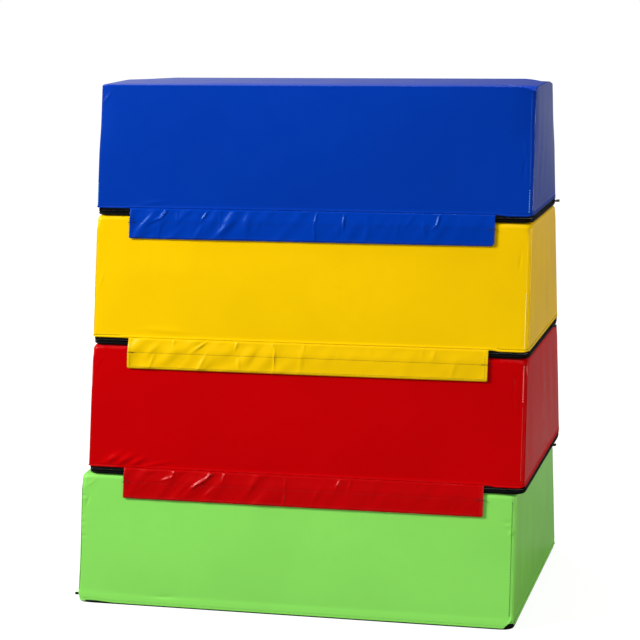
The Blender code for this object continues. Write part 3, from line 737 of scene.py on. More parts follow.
def shoulders(block, ring, height):
    """The walls fall back a little beside the upper part of each corner."""
    share = smooth_share(height, 0.45 * BLOCK_HEIGHT, 0.75 * BLOCK_HEIGHT)
    fall = -SHOULDER[block.name] * share * bump_at(ring.seam, SHOULDER_REACH)
    if block.is_turned:
        on_end = np.where(ring.wall == RIGHT, 1 - ring.turn, np.where(ring.wall == FRONT, ring.turn, 0.0))
        fall = fall - WAIST * on_end * bump_at(height - WAIST_HEIGHT, WAIST_REACH)
    return fall


def seam_relief(block, ring, height):
    """The sewn welt down each corner, with a stitched groove on both sides and puckers beside it."""
    half, to_long, to_end = SEAM_HALF_WIDTH, ring.seam + SEAM_HALF_WIDTH, ring.seam - SEAM_HALF_WIDTH
    welt = SEAM_PROUD * (1 - smooth_share(np.abs(ring.seam), half - 0.0012, half + 0.0006))
    grooves = bump_at(to_long + 0.0008, GROOVE_WIDTH) + 0.7 * bump_at(to_end - 0.0008, GROOVE_WIDTH)
    seed = 11 * block.level
    uneven = 0.55 + 0.45 * ripple(ring.wall * 1.7, height, 0.07, seed + 3)
    uneven = uneven + 0.8 * bump_at(height - 0.05, 0.03)
    drift = 0.004 * ripple(ring.wall * 0.9, height, 0.12, seed + 4)
    wave = 0.5 + 0.5 * np.cos(2 * math.pi * (height + drift) / PUCKER_PITCH)
    beside = bump_at(to_long + 0.0055, 0.0048) + 0.5 * bump_at(to_end - 0.0050, 0.0045)
    fade = 1 - smooth_share(height, block.top - EDGE_RADIUS - 0.004, block.top)
    fade = smooth_share(height, HEM_TOP, HEM_TOP + 0.02) * fade
    return fade * (welt - GROOVE_DEPTH * grooves - PUCKER_DEPTH * np.clip(uneven, 0, 1.6) * wave * beside)


def flare_share(block, ring, above_edge):
    """How much of the flare is left at distances above a cover's edge. It ends sooner behind a flap."""
    behind = np.zeros(ring.count)
    if block.level:
        behind = (1 - smooth_share(np.abs(ring.u) - block.half_flap, 0.004, 0.020)) * ring.on_long
    (low, high), (sooner_low, sooner_high) = FLARE_END, FLARE_SOONER
    return 1 - smooth_share(above_edge, low - sooner_low * behind, high - sooner_high * behind)


def hem_relief(block, ring, above_edge):
    """The doubled hem with its rolled edge and stitched groove, at distances above the cover's edge."""
    at_end = smooth_share(ring.seam, -0.004, 0.010)
    if block.level:
        beside_flap = smooth_share(np.abs(ring.u) - block.half_flap, 0.002, 0.008)
        at_end = np.maximum(at_end, 0.6 * beside_flap * ring.is_long)
    share = FACE_HEM_SHARE + (1 - FACE_HEM_SHARE) * at_end
    fold = HEM_PROUD * share * (1 - smooth_share(above_edge, HEM_HEIGHT, HEM_HEIGHT + 0.003))
    on_end = np.where(ring.wall == RIGHT, ring.u > 0, (ring.wall == LEFT) & (ring.u < 0))
    near_back = (ring.wall == BACK) | on_end
    rolled = at_end * np.where(near_back, smooth_share(np.abs(ring.seam), 0.005, 0.040), 1.0)
    roll = HEM_ROLL * rolled * bump_at(above_edge - 0.0022, 0.0015)
    groove = GROOVE_DEPTH * (share + 1.5 * at_end) * bump_at(above_edge - STITCH_LINE, 0.0014)
    drift = 3 * ripple(ring.u, ring.u * 0, 0.11, block.level)
    pull = 0.5 + 0.5 * np.sin(ring.u * 2 * math.pi / HEM_PULL_PITCH + drift)
    pucker = 0.0003 * share * pull * bump_at(above_edge - HEM_HEIGHT - 0.004, 0.004)
    return fold + roll - groove - pucker


def flap_lip(block, ring, height):
    """The fold of the cover over the seam that the flaps hang from, on the long walls."""
    if not block.level:
        return 0.0
    above_seam = height - FLAP_HINGE_HEIGHT
    lip = smooth_share(above_seam, 0.0, 0.0005) * (1 - smooth_share(above_seam, 0.001, 0.006))
    along = smooth_share(block.half_flap + 0.005 - np.abs(ring.u), 0.0, 0.004)
    return np.where(ring.on_long, FLAP_LIP * lip * along, 0.0)


def wall_waves(block, ring, height):
    """The slack of the cover: soft upright waves on the end walls and faint ones on the long walls."""
    seed = 7 + 13 * block.level
    place = ring.u + ring.wall * 2.3
    upright = ripple(place, height * 0.22, 0.075, seed)
    broad = ripple(place, height, 0.26, seed + 1)
    inside = 1 - smooth_share(-np.abs(ring.seam), -0.03, -0.005)
    ends = np.where(ring.is_long, 0.00010, 0.00042)
    return inside * crown_share(height) * (ends * upright + 0.00045 * broad)


def creases_on(block, ring, height):
    """Creases at chosen places of the long wall that faces the camera."""
    radius = corner_radius(BLOCK_HEIGHT / 2)
    before = (ring.wall == (block.seen_wall - 1) % 4) & (ring.turn > 0)
    round_corner = radius - LENGTH / 2 - (1 - ring.turn) * radius * math.pi / 2
    place = np.where(before, round_corner, ring.u)
    total = np.zeros(np.broadcast(ring.u, height).shape)
    for row in CREASES[block.name]:
        total = total + crease(place, height, *row)
    on_wall = (ring.wall == block.seen_wall) | before
    return np.where(on_wall, total, 0.0) * smooth_share(height, FLAP_HINGE_HEIGHT, HEM_TOP)


# Creases of each front: place along the wall, height, angle, length, width, rise
CREASES = {
    "green": [
        (0.492, 0.237, -5, 0.022, 0.0022, -0.0012), (0.49, 0.23, 8, 0.022, 0.0022, 0.0009),
        (0.497, 0.214, 32, 0.014, 0.0034, 0.0016), (-0.506, 0.247, 3, 0.03, 0.0024, -0.0012),
        (-0.504, 0.24, -4, 0.024, 0.003, 0.001), (-0.502, 0.203, 12, 0.018, 0.0026, -0.0011),
        (-0.501, 0.186, 6, 0.02, 0.0024, -0.0012), (-0.502, 0.171, -8, 0.016, 0.0024, -0.0011),
        (-0.5, 0.153, 6, 0.022, 0.0026, -0.0013), (-0.502, 0.137, -6, 0.018, 0.0024, -0.001),
        (-0.3, 0.022, 5, 0.055, 0.005, -0.0012), (-0.489, 0.235, 70, 0.028, 0.003, -0.0008),
        (-0.486, 0.278, 40, 0.03, 0.0035, 0.0007),
    ],
    "red": [
        (-0.446, 0.037, 28, 0.042, 0.0075, 0.0034), (-0.418, 0.0345, 28, 0.046, 0.0078, 0.0036),
        (-0.389, 0.031, 26, 0.04, 0.0066, 0.0028), (-0.345, 0.0275, 12, 0.07, 0.004, 0.0014),
        (0.48, 0.245, 80, 0.035, 0.003, -0.0009), (0.484, 0.2, 95, 0.03, 0.0028, 0.0008),
        (-0.486, 0.262, 60, 0.03, 0.003, 0.0006),
    ],
    "yellow": [
        (-0.33, 0.036, -3, 0.1, 0.006, 0.0008), (0.482, 0.215, 85, 0.03, 0.003, -0.0007),
        (-0.488, 0.15, 75, 0.036, 0.0032, 0.0006),
    ],
    "blue": [
        (-0.37, 0.03, 6, 0.05, 0.0045, 0.0009), (0.484, 0.12, 84, 0.04, 0.003, -0.0008),
        (0.486, 0.165, 96, 0.035, 0.0028, 0.0007), (-0.49, 0.272, 55, 0.03, 0.0032, 0.0008),
    ],
}


def skin_rows(block, ring, heights, offsets, is_cover=True):
    """Rows of a skin's points, with the shoulders and the droop at the corners."""
    offsets = offsets + shoulders(block, ring, heights)
    return droop_corners(block, ring, wall_points(block, ring, heights, offsets, is_cover))


def edge_rows(block, ring, radius, reach, turns):
    """Rows over the rounded edge of a cover's top, at a reach from the middle of its rounding."""
    angles = turns * math.pi / 2
    heights = block.top - radius + reach * np.sin(angles)
    return skin_rows(block, ring, heights, reach * np.cos(angles) - radius)


def cover_top(block, rim):
    """The top panel, from its rim inwards: flat, or swollen on the last block."""
    sizes = 1 - np.linspace(0, 1, 22)[1:-1]
    top = drawn_in(rim, sizes)
    top[..., 2] += (block.top - rim[:, 2]) * (1 - sizes[:, None] ** 14)
    if not block.is_last:
        top[..., 2] -= 0.0006 * (1 + ripple(top[..., 0], top[..., 1], 0.18, 61 + block.level)) / 2
        return top
    swell = 1 - sizes[:, None] ** 4
    top[..., 2] += TOP_CROWN * 0.9 * swell
    top[..., 2] += 0.0009 * swell * ripple(top[..., 0], top[..., 1] * 1.3, 0.22, 91)
    top[..., 2] = np.minimum(top[..., 2], BLOCK_HEIGHT + TOP_SWELL)
    return top


def cover_inside(block, ring, hem, flare, radius):
    """The inner side of a cover, from the middle of the top out and down to the hem."""
    edge_low = block.top - radius
    shares = np.concatenate([[0.0, 0.004], np.linspace(0.02, 1.0, 14)])[:, None]
    heights = hem + 0.0002 + (edge_low - hem) * shares
    backing = LINING * smooth_share(heights - hem, TAPE_OVERLAP + 0.001, 0.020)
    offsets = flare * flare_share(block, ring, heights - hem) - COVER_THICKNESS - backing
    walls = skin_rows(block, ring, heights, offsets)
    edge = edge_rows(block, ring, radius, radius - COVER_THICKNESS, np.arange(1, 5)[:, None] / 4)
    top = drawn_in(edge[-1], (0.94, 0.7, 0.3))
    top[1:, :, 2] = block.top - COVER_THICKNESS
    return np.concatenate([walls, edge, top])[::-1]


def build_cover(block):
    ring = Ring(block, 0.009, 18, CREASES[block.name])
    hem, flare = hem_line(block, ring)
    radius = TOP_EDGE_RADIUS if block.is_last else EDGE_RADIUS
    reach_up = 0.020
    above = divisions(0.0, reach_up, 0.0022, [FLAP_SEAM, STITCH_LINE, HEM_HEIGHT + 0.001], 0.0006)
    rise = divisions(0.0, 1.0, 1 / 80)[1:]
    upper = (hem + reach_up) + (block.top - radius - hem - reach_up) * rise[:, None]
    heights = np.concatenate([hem + above[:, None], upper])
    above_edge = heights - hem
    offsets = (
        flare * flare_share(block, ring, above_edge)
        - 0.0004 * (1 - smooth_share(above_edge, 0.0, 0.0010))
        + hem_relief(block, ring, above_edge)
        + flap_lip(block, ring, heights)
        + seam_relief(block, ring, heights)
        + shoulders(block, ring, heights)
        + wall_waves(block, ring, heights)
        + creases_on(block, ring, heights)
    )
    walls = droop_corners(block, ring, wall_points(block, ring, heights, offsets, True))
    worn = 0.9 * bump_at(ring.seam, 0.004) + 0.8 * bump_at(above_edge, 0.003)

    turns = np.arange(1, 13)[:, None] / 12
    uneven = 1 + 0.3 * ripple(ring.u, ring.wall * 1.0, 0.02, block.level + 40)
    sunk = -TOP_SEAM_DEPTH * bump_at(turns - TOP_SEAM_TURN, 0.07) * uneven
    edge = edge_rows(block, ring, radius, radius + sunk, turns)
    edge[..., 2] = np.minimum(edge[..., 2], block.top + (0.0006 if block.is_last else 0.0))
    edge_worn = np.broadcast_to(0.8 * np.sin(turns * math.pi), edge.shape[:2])
    top = cover_top(block, edge[-1])
    inside = cover_inside(block, ring, hem, flare, radius)

    wear = np.concatenate([np.zeros(inside.shape[:2]), worn, edge_worn, np.zeros(top.shape[:2])])
    shape = Shape()
    shape.add_tube(block.placed(np.concatenate([inside, walls, edge, top])), wear)
    name = f"{block.name}_cover"
    cover = shape.object(f"{name}_skin", block.name, block.body, block.vinyl, [name])
    sew_cover(block, ring, walls, heights)


def sew_cover(block, ring, walls, heights):
    """The threads: topstitching round the hem and a row beside each upright seam, on the long wall's side."""
    facing = block.turned(wall_normals(ring))
    hem_row = int(np.argmin(np.abs(heights[:, 0] - heights[0, 0] - STITCH_LINE)))
    path = block.placed(walls[hem_row])
    is_open = np.ones(ring.count, bool)
    if block.level:
        is_open = ~(ring.on_long & (np.abs(ring.u) < block.half_flap + 0.004))
    hem, seams, glints = Shape(), Shape(), Shape()
    for run in stretches(is_open):
        sew(hem, path[run], facing[run], HEM_STITCH)
    low, high = HEM_TOP + 0.004, block.top - EDGE_RADIUS - 0.002
    shine = GLINTS.get(block.name, (low, low))
    loose = SEAM_STITCHES[block.is_turned]
    # Between the heights in GLINTS the stitches are thick and in the pale thread, which paints glints along
    # the corner seams
    kinds = ((seams, loose, low, shine[0]), (seams, loose, shine[1], high), (glints, GLINT_STITCH, *shine))
    for side, end in ((-1, -1), (-1, 1), (1, -1), (1, 1)):
        line = seam_line(ring, walls, side, end, SEAM_INSETS[0 if end * block.sign < 0 else 1])
        for shape, stitch, bottom, top in kinds:
            kept = line[(line[:, 2] > bottom) & (line[:, 2] < top)]
            if len(kept) > 3:
                sew(shape, block.placed(kept), (0.0, side * block.sign, 0.18), stitch)
    hem.object(f"{block.name}_hem_stitches", block.thread, block.body, block.vinyl)
    seams.object(f"{block.name}_seam_stitches", f"{block.name}_seam_thread", block.body, block.vinyl)
    if glints.count:
        glints.object(f"{block.name}_tight_stitches", f"{block.name}_tight_thread", block.body, block.vinyl)


def seam_line(ring, walls, side, end, inset):
    """A line up a skin beside a corner: on its front (side -1) or back, by its left (end -1) or right end."""
    line = []
    for row in walls[:, ring.swing[:, 1] * side > 0.05]:
        face = row[np.argsort(row[:, 0])]
        x = face[0 if end < 0 else -1, 0] - end * inset
        line.append([x, np.interp(x, face[:, 0], face[:, 1]), np.interp(x, face[:, 0], face[:, 2])])
    return np.array(line)


def build_foam_core(block):
    ring = Ring(block, 0.012, 12)
    bottom, edge_low = BASE_THICKNESS + FIT_GAP, block.top - EDGE_RADIUS
    inset = COVER_INSIDE + LINING + 0.0002
    radius = EDGE_RADIUS - inset
    rows = [(bottom, -FOAM_RECESS - 0.003), (bottom + 0.001, -FOAM_RECESS - 0.001)]
    rows += [(bottom + 0.003, -FOAM_RECESS), (FOAM_RECESS_TOP, -FOAM_RECESS)]
    rows += [(FOAM_RECESS_TOP + 0.012, -inset)]
    rows += [(height, -inset) for height in np.linspace(FOAM_RECESS_TOP + 0.03, edge_low, 24)]
    for turn in (k / 5 * math.pi / 2 for k in range(1, 6)):
        rows.append((edge_low + radius * math.sin(turn), -inset - radius * (1 - math.cos(turn))))
    heights, offsets = np.array(rows).T[:, :, None]
    skin = skin_rows(block, ring, heights, offsets, False)
    skin[..., 2] -= 0.0006 * bump_at(ring.seam, CORNER_DROOP[1]) * (heights > edge_low)
    tops = drawn_in(skin[-1], (0.92, 0.6, 0.3))
    tops[1:, :, 2] = block.top - inset
    shape = Shape()
    shape.add_tube(block.placed(np.concatenate([skin, tops])))
    core = shape.object(f"{block.name}_foam", "foam", block.body, "foam", [f"{block.name}_foam_core"])


def build_base_panel(block):
    """The black underside: a panel whose edge turns up in a lip, lifted a little at each corner."""
    ring = Ring(block, 0.02, 14)
    rounding = 0.0012 + 0.0026 * bump_at(ring.seam - 0.003, 0.018)
    rows = [
        (rounding * (1 - math.cos(turn)), -rounding * (1 - math.sin(turn)))
        for turn in np.linspace(0, math.pi / 2, 7)
    ]
    lip, thick = BASE_LIP_HEIGHT, BASE_LIP_THICKNESS
    profile = [(lip - 0.0004, 0.0), (lip, -0.0003), (lip, 0.0003 - thick), (lip - 0.0004, -thick)]
    profile.append((BASE_THICKNESS, -thick))
    rows += [(np.full(ring.count, height), np.full(ring.count, offset)) for height, offset in profile]
    heights, offsets = np.swapaxes(np.array(rows), 0, 1)
    skin = wall_points(block, ring, heights, offsets)
    under, inside = drawn_in(skin[0], (0.3, 0.7, 0.97)), drawn_in(skin[-1], (0.97, 0.5))
    points = np.concatenate([under, skin, inside])
    worn = np.zeros(points.shape[:2])
    worn[len(under) : len(under) + 5] = 0.8
    shape = Shape()
    shape.add_tube(block.placed(points), worn)
    name = f"{block.name}_base"
    shape.object(name, "black_vinyl", block.body, "black_vinyl", [f"{block.name}_base_panel"])


# The zips


def add_tape(shape, block, places, low, high, front):
    """A flat tape behind the cover's hem, along places of a ring."""
    profile = [(low, -TAPE_BACK), (high, -TAPE_BACK), (high, front), (low, front)]
    lines = [wall_points(block, places, height, offset) for height, offset in profile]
    shape.add_tube(block.placed(np.stack(lines, 1)))


def tooth_rings(side):
    """One tooth of a coil row, a rounded bar across the zip. side is 1 above the slot and -1 below."""
    inner, outer, half = 0.00055, COIL_WIDTH / 2, 0.00065
    back = -COVER_INSIDE + 0.0001
    profile = [(inner, back), (inner, -0.0001), (inner + 0.0005, COIL_PROUD)]
    profile += [(outer - 0.0006, COIL_PROUD), (outer, -0.0001), (outer, back)]
    return [[(end * half, side * a, b) for a, b in profile] for end in (-1, 1)]


def stop_rings():
    """A zip's end stop: a clamped bar with bevelled edges."""
    half, high = COIL_WIDTH / 2 + STOP_PROUD, COIL_PROUD + STOP_PROUD
    outline = [(-half, -0.0012), (-half, high - 0.0004), (0.0004 - half, high)]
    outline += [(half - 0.0004, high), (half, high - 0.0004), (half, -0.0012)]
    return [[(t * STOP_LENGTH / 2, a, b) for a, b in outline] for t in (-1, -0.8, 0.8, 1)]


def build_zip(block):
    ring = Ring(block, 0.02, 10)
    path = ring.part((ring.wall == LEFT) | (ring.wall == FRONT) | ((ring.wall == RIGHT) & (ring.turn == 0)))
    bottom, top = BASE_THICKNESS + FIT_GAP, ZIP_BAND + TAPE_OVERLAP
    tape, coil, stops = Shape(), Shape(), Shape()
    for low, high in ((bottom, COIL_CENTRE - COIL_SLOT / 2), (COIL_CENTRE + COIL_SLOT / 2, top)):
        add_tape(tape, block, path, low, high, -COVER_INSIDE - 0.0001)
    for wall in (RIGHT, BACK):
        tail = ring.part((ring.wall == wall) & (ring.turn > 0))
        add_tape(tape, block, tail, bottom, top, -COVER_INSIDE)
    name = f"{block.name}_zip"
    tape.object(f"{name}_tape", "zip_tape", block.body, "zip_tape", [name], 35)
    line = block.placed(wall_points(block, path, COIL_CENTRE, 0.0))
    facing = block.turned(np.concatenate([path.swing, np.zeros((path.count, 1))], 1))
    for side in (1, -1):
        add_copies(coil, tooth_rings(side), *along_path(line, facing, COIL_PITCH))
    coil.object(f"{name}_coil", "coil", block.body, "zip_tape", (), 30)
    for wall, along in ((LEFT, -1.0), (RIGHT, 1.0)):
        end = ring.part([int(np.argmin(np.where(ring.wall == wall, np.abs(ring.along - along), 9)))])
        travel, outward = (np.array([[*axes[wall], 0.0]]) for axes in (TRAVEL, OUTWARD))
        at = wall_points(block, end, COIL_CENTRE, 0.0) - along * travel * (STOP_LENGTH / 2 - 0.0006)
        add_copies(stops, stop_rings(), block.placed(at), block.turned(travel), block.turned(outward))
    stops.object(f"{name}_stops", "zip_metal", block.body, "zip_metal", (), 30)


def build_rounded(node):
    """A copy of a small cast piece with its edges rounded."""
    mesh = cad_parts[node].data.copy()
    obj = add_object(f"{node}_cast", mesh)
    mesh.materials.clear()
    mesh.materials.append(materials["zip_metal"])
    weld = obj.modifiers.new("Weld", "WELD")
    weld.merge_threshold = 0.00002
    bevel = obj.modifiers.new("Bevel", "BEVEL")
    bevel.width = 0.00018
    bevel.segments = 2
    bevel.limit_method = "ANGLE"
    bevel.angle_limit = math.radians(40)
    bevel.harden_normals = False
    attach(obj, node)
    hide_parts(node)


# The flaps


def face_reach(block, x, height):
    """How far a block's front or back stands from its middle plane, at x along it."""
    along = x / (LENGTH / 2 - corner_radius(height))
    return half_depth(block.floor + height) + LONG_WALL_CROWN * (1 - along**2) * crown_share(height)


# Wrinkles of each front flap: share of its length, height, angle, length, width, rise
WRINKLES = {
    "blue": [
        (0.099, 0.007, 51, 0.028, 0.0027, 0.0034), (0.079, -0.007, 26, 0.028, 0.003, 0.0024),
        (0.047, -0.003, 44, 0.044, 0.0065, -0.0016), (0.061, -0.031, 36, 0.05, 0.0065, 0.0014),
        (0.086, -0.034, 78, 0.03, 0.0016, 0.001), (0.134, 0.002, 89, 0.024, 0.002, 0.0014),
        (0.167, 0.011, 62, 0.012, 0.0022, 0.0008), (0.141, -0.02, 45, 0.052, 0.006, -0.002),
        (0.213, 0.003, 55, 0.028, 0.0027, 0.0028), (0.199, -0.032, 60, 0.046, 0.006, 0.0014),
        (0.256, -0.002, 90, 0.03, 0.002, 0.0015), (0.268, -0.028, 43, 0.05, 0.006, 0.0014),
        (0.331, -0.018, 86, 0.06, 0.0085, 0.0012), (0.373, -0.02, 80, 0.06, 0.008, -0.001),
        (0.52, 0.0, 80, 0.03, 0.0021, 0.0018), (0.518, -0.034, 97, 0.036, 0.0021, 0.0018),
        (0.597, -0.004, 88, 0.036, 0.0024, 0.0026), (0.583, -0.024, 66, 0.026, 0.006, 0.001),
        (0.66, -0.022, 84, 0.056, 0.0075, 0.0013), (0.705, -0.012, 60, 0.04, 0.006, -0.0009),
        (0.742, -0.018, 76, 0.044, 0.006, 0.0009), (0.774, 0.0, 52, 0.03, 0.0045, 0.001),
        (0.814, -0.018, 98, 0.044, 0.0055, 0.0012), (0.851, 0.004, 78, 0.024, 0.0026, 0.003),
        (0.843, -0.011, 46, 0.02, 0.0034, 0.0018), (0.91, 0.006, 84, 0.018, 0.004, 0.0008),
    ],
    "yellow": [
        (0.074, -0.006, 40, 0.04, 0.006, 0.0012), (0.071, -0.033, 68, 0.032, 0.0034, 0.0014),
        (0.132, 0.011, 88, 0.016, 0.0022, 0.0014), (0.166, -0.018, 52, 0.05, 0.006, -0.0012),
        (0.211, 0.005, 34, 0.042, 0.0028, 0.0028), (0.215, -0.032, 62, 0.04, 0.0042, 0.0016),
        (0.31, 0.008, 76, 0.022, 0.0024, 0.0018), (0.318, -0.031, 96, 0.034, 0.0036, 0.0012),
        (0.366, -0.014, 58, 0.05, 0.006, -0.0009), (0.413, 0.012, 90, 0.014, 0.0021, 0.0014),
        (0.418, -0.022, 90, 0.058, 0.0022, 0.0019), (0.492, -0.024, 86, 0.05, 0.006, 0.0012),
        (0.499, 0.01, 90, 0.016, 0.0022, 0.0013), (0.596, -0.01, 70, 0.044, 0.0065, 0.0009),
        (0.682, 0.006, 88, 0.024, 0.006, 0.0009), (0.747, -0.004, 68, 0.022, 0.0034, -0.0016),
        (0.824, 0.004, 84, 0.026, 0.005, 0.0009), (0.855, 0.003, 80, 0.022, 0.0045, 0.0011),
        (0.908, -0.03, 74, 0.04, 0.006, 0.001),
    ],
    "red": [
        (0.076, 0.01, 8, 0.03, 0.0034, 0.001), (0.144, 0.01, 70, 0.02, 0.0026, 0.0022),
        (0.124, -0.004, 18, 0.03, 0.0028, 0.0022), (0.06, -0.022, 42, 0.05, 0.0065, 0.0012),
        (0.247, 0.01, 48, 0.024, 0.0028, 0.0034), (0.223, -0.007, 31, 0.03, 0.003, 0.0036),
        (0.203, -0.018, 40, 0.02, 0.003, 0.0024), (0.176, -0.03, 44, 0.044, 0.006, -0.0014),
        (0.243, -0.031, 41, 0.04, 0.0046, 0.0017), (0.287, 0.008, 73, 0.024, 0.0024, 0.0018),
        (0.316, -0.018, 52, 0.05, 0.0065, -0.0012), (0.366, -0.014, 62, 0.05, 0.007, 0.0012),
        (0.46, 0.004, 90, 0.03, 0.002, 0.0012), (0.458, -0.032, 88, 0.036, 0.0022, 0.002),
        (0.495, 0.013, 86, 0.012, 0.0024, 0.0015), (0.546, -0.024, 64, 0.046, 0.0065, 0.001),
        (0.607, 0.005, 60, 0.022, 0.0028, 0.002), (0.638, 0.003, 80, 0.024, 0.0026, 0.0017),
        (0.7, -0.02, 72, 0.05, 0.007, 0.0009), (0.79, -0.004, 66, 0.04, 0.006, -0.0008),
        (0.82, 0.01, 60, 0.014, 0.003, 0.001), (0.93, -0.026, 60, 0.044, 0.0065, 0.0009),
    ],
}


def flap_wrinkles(name, face, x, height):
    """How far a flap's wrinkles stand out. The soft ones between the sharp ones lean like them."""
    length = FLAP_LENGTHS[name]
    share = x / length + 0.5
    if face == "back":
        share = 1.03 - share
    total = np.zeros(np.broadcast(x, height).shape)
    for place, *rest in WRINKLES[name]:
        total = total + crease(share * length, height, place * length, *rest)
    seed = 71 + len(name) + (30 if face == "back" else 0)
    lean = math.radians(SOFT_FOLD_LEAN)
    across = x * math.sin(lean) - height * math.cos(lean)
    along = x * math.cos(lean) + height * math.sin(lean)
    soft = ripple(across, along * 0.4, SOFT_FOLD_PITCH, seed)
    calm = 1 - 0.6 * smooth_share(share, 0.3, 0.55)
    total = total + SOFT_FOLD * calm * (0.6 + soft) + 0.0006 * ripple(x, height * 0.3, 0.13, seed + 1)
    return (total + np.sqrt(total**2 + FOLD_FLOOR**2)) / 2


def rounded_corners(x, height, length, radius):
    """Moves the points of a sheet's lower corners so that its outline is round there."""
    side = np.clip(1 - (length / 2 - np.abs(x)) / radius, 0, 1)
    low = np.clip(1 - (height + FLAP_DROP) / radius, 0, 1)
    new_side, new_low = side * np.sqrt(1 - low**2 / 2), low * np.sqrt(1 - side**2 / 2)
    return x - np.sign(x) * (side - new_side) * radius, height + (low - new_low) * radius


def flap_reach(upper, lower, x, height):
    """How far the middle of a flap's thickness stands from the middle plane: over the coil and the strips."""
    at_seam = half_depth(upper.floor + height) + FLAP_HINGE_OFFSET
    over_coil = at_seam + COIL_PROUD
    strips = 3 * FIT_GAP + 2 * STRIP_THICKNESS + FLAP_THICKNESS / 2
    on_strips = face_reach(lower, x + upper.shift - lower.shift, height + BLOCK_HEIGHT) + strips
    coil_top = COIL_CENTRE + COIL_WIDTH / 2
    reach = at_seam + (over_coil - at_seam) * smooth_share(-height, -FLAP_HINGE_HEIGHT, -coil_top)
    bow = smooth_share(-height, -FLAP_HINGE_HEIGHT, STRIP_DROP - 0.003)
    reach = reach + (on_strips - over_coil) * bow
    return reach - FLAP_EDGE_IN * (1 - smooth_share(height + FLAP_DROP, -0.0005, 0.0034))


def build_flap(upper, lower, face):
    side = -1 if face == "front" else 1
    length = FLAP_LENGTHS[upper.name]
    step = FLAP_STEP if face == "front" else 1.6 * FLAP_STEP
    strip_line, low_line = -STRIP_DROP - STRIP_SEWN, -STRIP_DROP - STRIP_HEIGHT + STRIP_SEWN
    ends = [FLAP_BORDER - length / 2, length / 2 - FLAP_BORDER]
    xs = divisions(-length / 2, length / 2, step, ends)[::-side]
    hs = divisions(-FLAP_DROP, FLAP_HINGE_HEIGHT, step, [strip_line, low_line])
    x, height = np.meshgrid(xs, hs)
    above, below_seam = height + FLAP_DROP, FLAP_HINGE_HEIGHT - height
    to_border = np.minimum(length / 2 - np.abs(x), above)
    reach = flap_reach(upper, lower, x, height)
    wrinkles = flap_wrinkles(upper.name, face, x, height) * smooth_share(below_seam, 0.0, 0.003)
    wrinkles = wrinkles * (0.3 + 0.7 * smooth_share(above, 0.0, 0.005))
    fold = 0.0005 * (1 - smooth_share(to_border, FLAP_BORDER + 0.001, FLAP_BORDER + 0.003))
    lines = bump_at(to_border - FLAP_BORDER, 0.0009) * (height < strip_line + 0.02)
    along_strip = 0.5 if upper.name in DARK_SEWN else 0.25
    for line in (strip_line, low_line):
        lines = np.maximum(lines, along_strip * bump_at(height - line, 0.0009))
    rounding = 0.00038 * (1 - smooth_share(np.minimum(to_border, below_seam), 0.0, 0.0009))
    tucked = 0.0014 * (1 - smooth_share(below_seam, 0.0008, 0.0030))
    out = reach + wrinkles + FLAP_THICKNESS / 2 + fold - GROOVE_DEPTH * lines - rounding - tucked
    back = reach + np.minimum(wrinkles, FLAP_BACK_FOLDS) - FLAP_THICKNESS / 2 + rounding
    back = np.minimum(back, out - 0.0002)
    radius = np.where(x > 0, FLAP_ROUNDING[upper.name], 0.003)
    new_x, new_height = rounded_corners(x, height, length, radius)
    outer, inner = (upper.placed(np.stack([new_x, side * face_y, new_height], -1)) for face_y in (out, back))
    shape = Shape()
    shape.add_slab(outer, inner, 0.9 * bump_at(to_border, 0.003))
    name = f"{upper.name}_{face}_flap"
    flap = shape.object(f"{name}_sheet", f"{upper.name}_flap", name, upper.vinyl, [name])

    sewn, knots = Shape(), Shape()
    toward = (0.0, side, 0.0)
    full = (xs > ends[0] - 0.001) & (xs < ends[1] + 0.001)
    strip_row, low_row = (int(np.argmin(np.abs(hs - line))) for line in (strip_line, low_line))
    for row in (strip_row, low_row):
        sew(sewn, outer[row][full], toward, FLAP_STITCH)
    upright = (hs > low_line) & (hs < FLAP_HINGE_HEIGHT - 0.007)
    wobble = np.array([[0.0022 * k, 0.0, 0.0009 * math.sin(2.1 * k)] for k in range(-4, 5)])
    for end in ends:
        column = int(np.argmin(np.abs(xs - end)))
        sew(sewn, outer[upright, column], toward, FLAP_STITCH)
        sew(knots, outer[strip_row, column] + wobble, toward, KNOT_STITCH, KNOT_PITCH)
    add_thread_tail(knots, outer[strip_row, -1 if side < 0 else 0], side, upper.level)
    knots.object(f"{name}_knots", "thread", name, "black_vinyl")
    sewn.object(f"{name}_stitches", upper.thread, name, upper.vinyl)


def add_thread_tail(shape, start, side, seed):
    """A loose end of thread, left where the strip's stitching runs off the flap's end."""
    draw = np.random.default_rng(50 + seed)
    share = np.linspace(0, 1, 9)[:, None]
    length = draw.uniform(0.011, 0.016)
    away = np.array([length, 0.0, -0.25 * length])
    curl = np.array([0.0, 0.0, draw.uniform(0.001, 0.003)])
    line = start + np.array([-0.002, side * 0.0006, 0.0]) + away * share + curl * np.sin(math.pi * share)
    line[:, 1] += side * 0.0015 * np.sin(2 * share[:, 0])
    angles = np.arange(5) * 2 * math.pi / 5
    circle = [THREAD_RADIUS * np.array([0.0, math.cos(t), math.sin(t)]) for t in angles]
    shape.add_tube([[place + point for point in circle] for place in line])


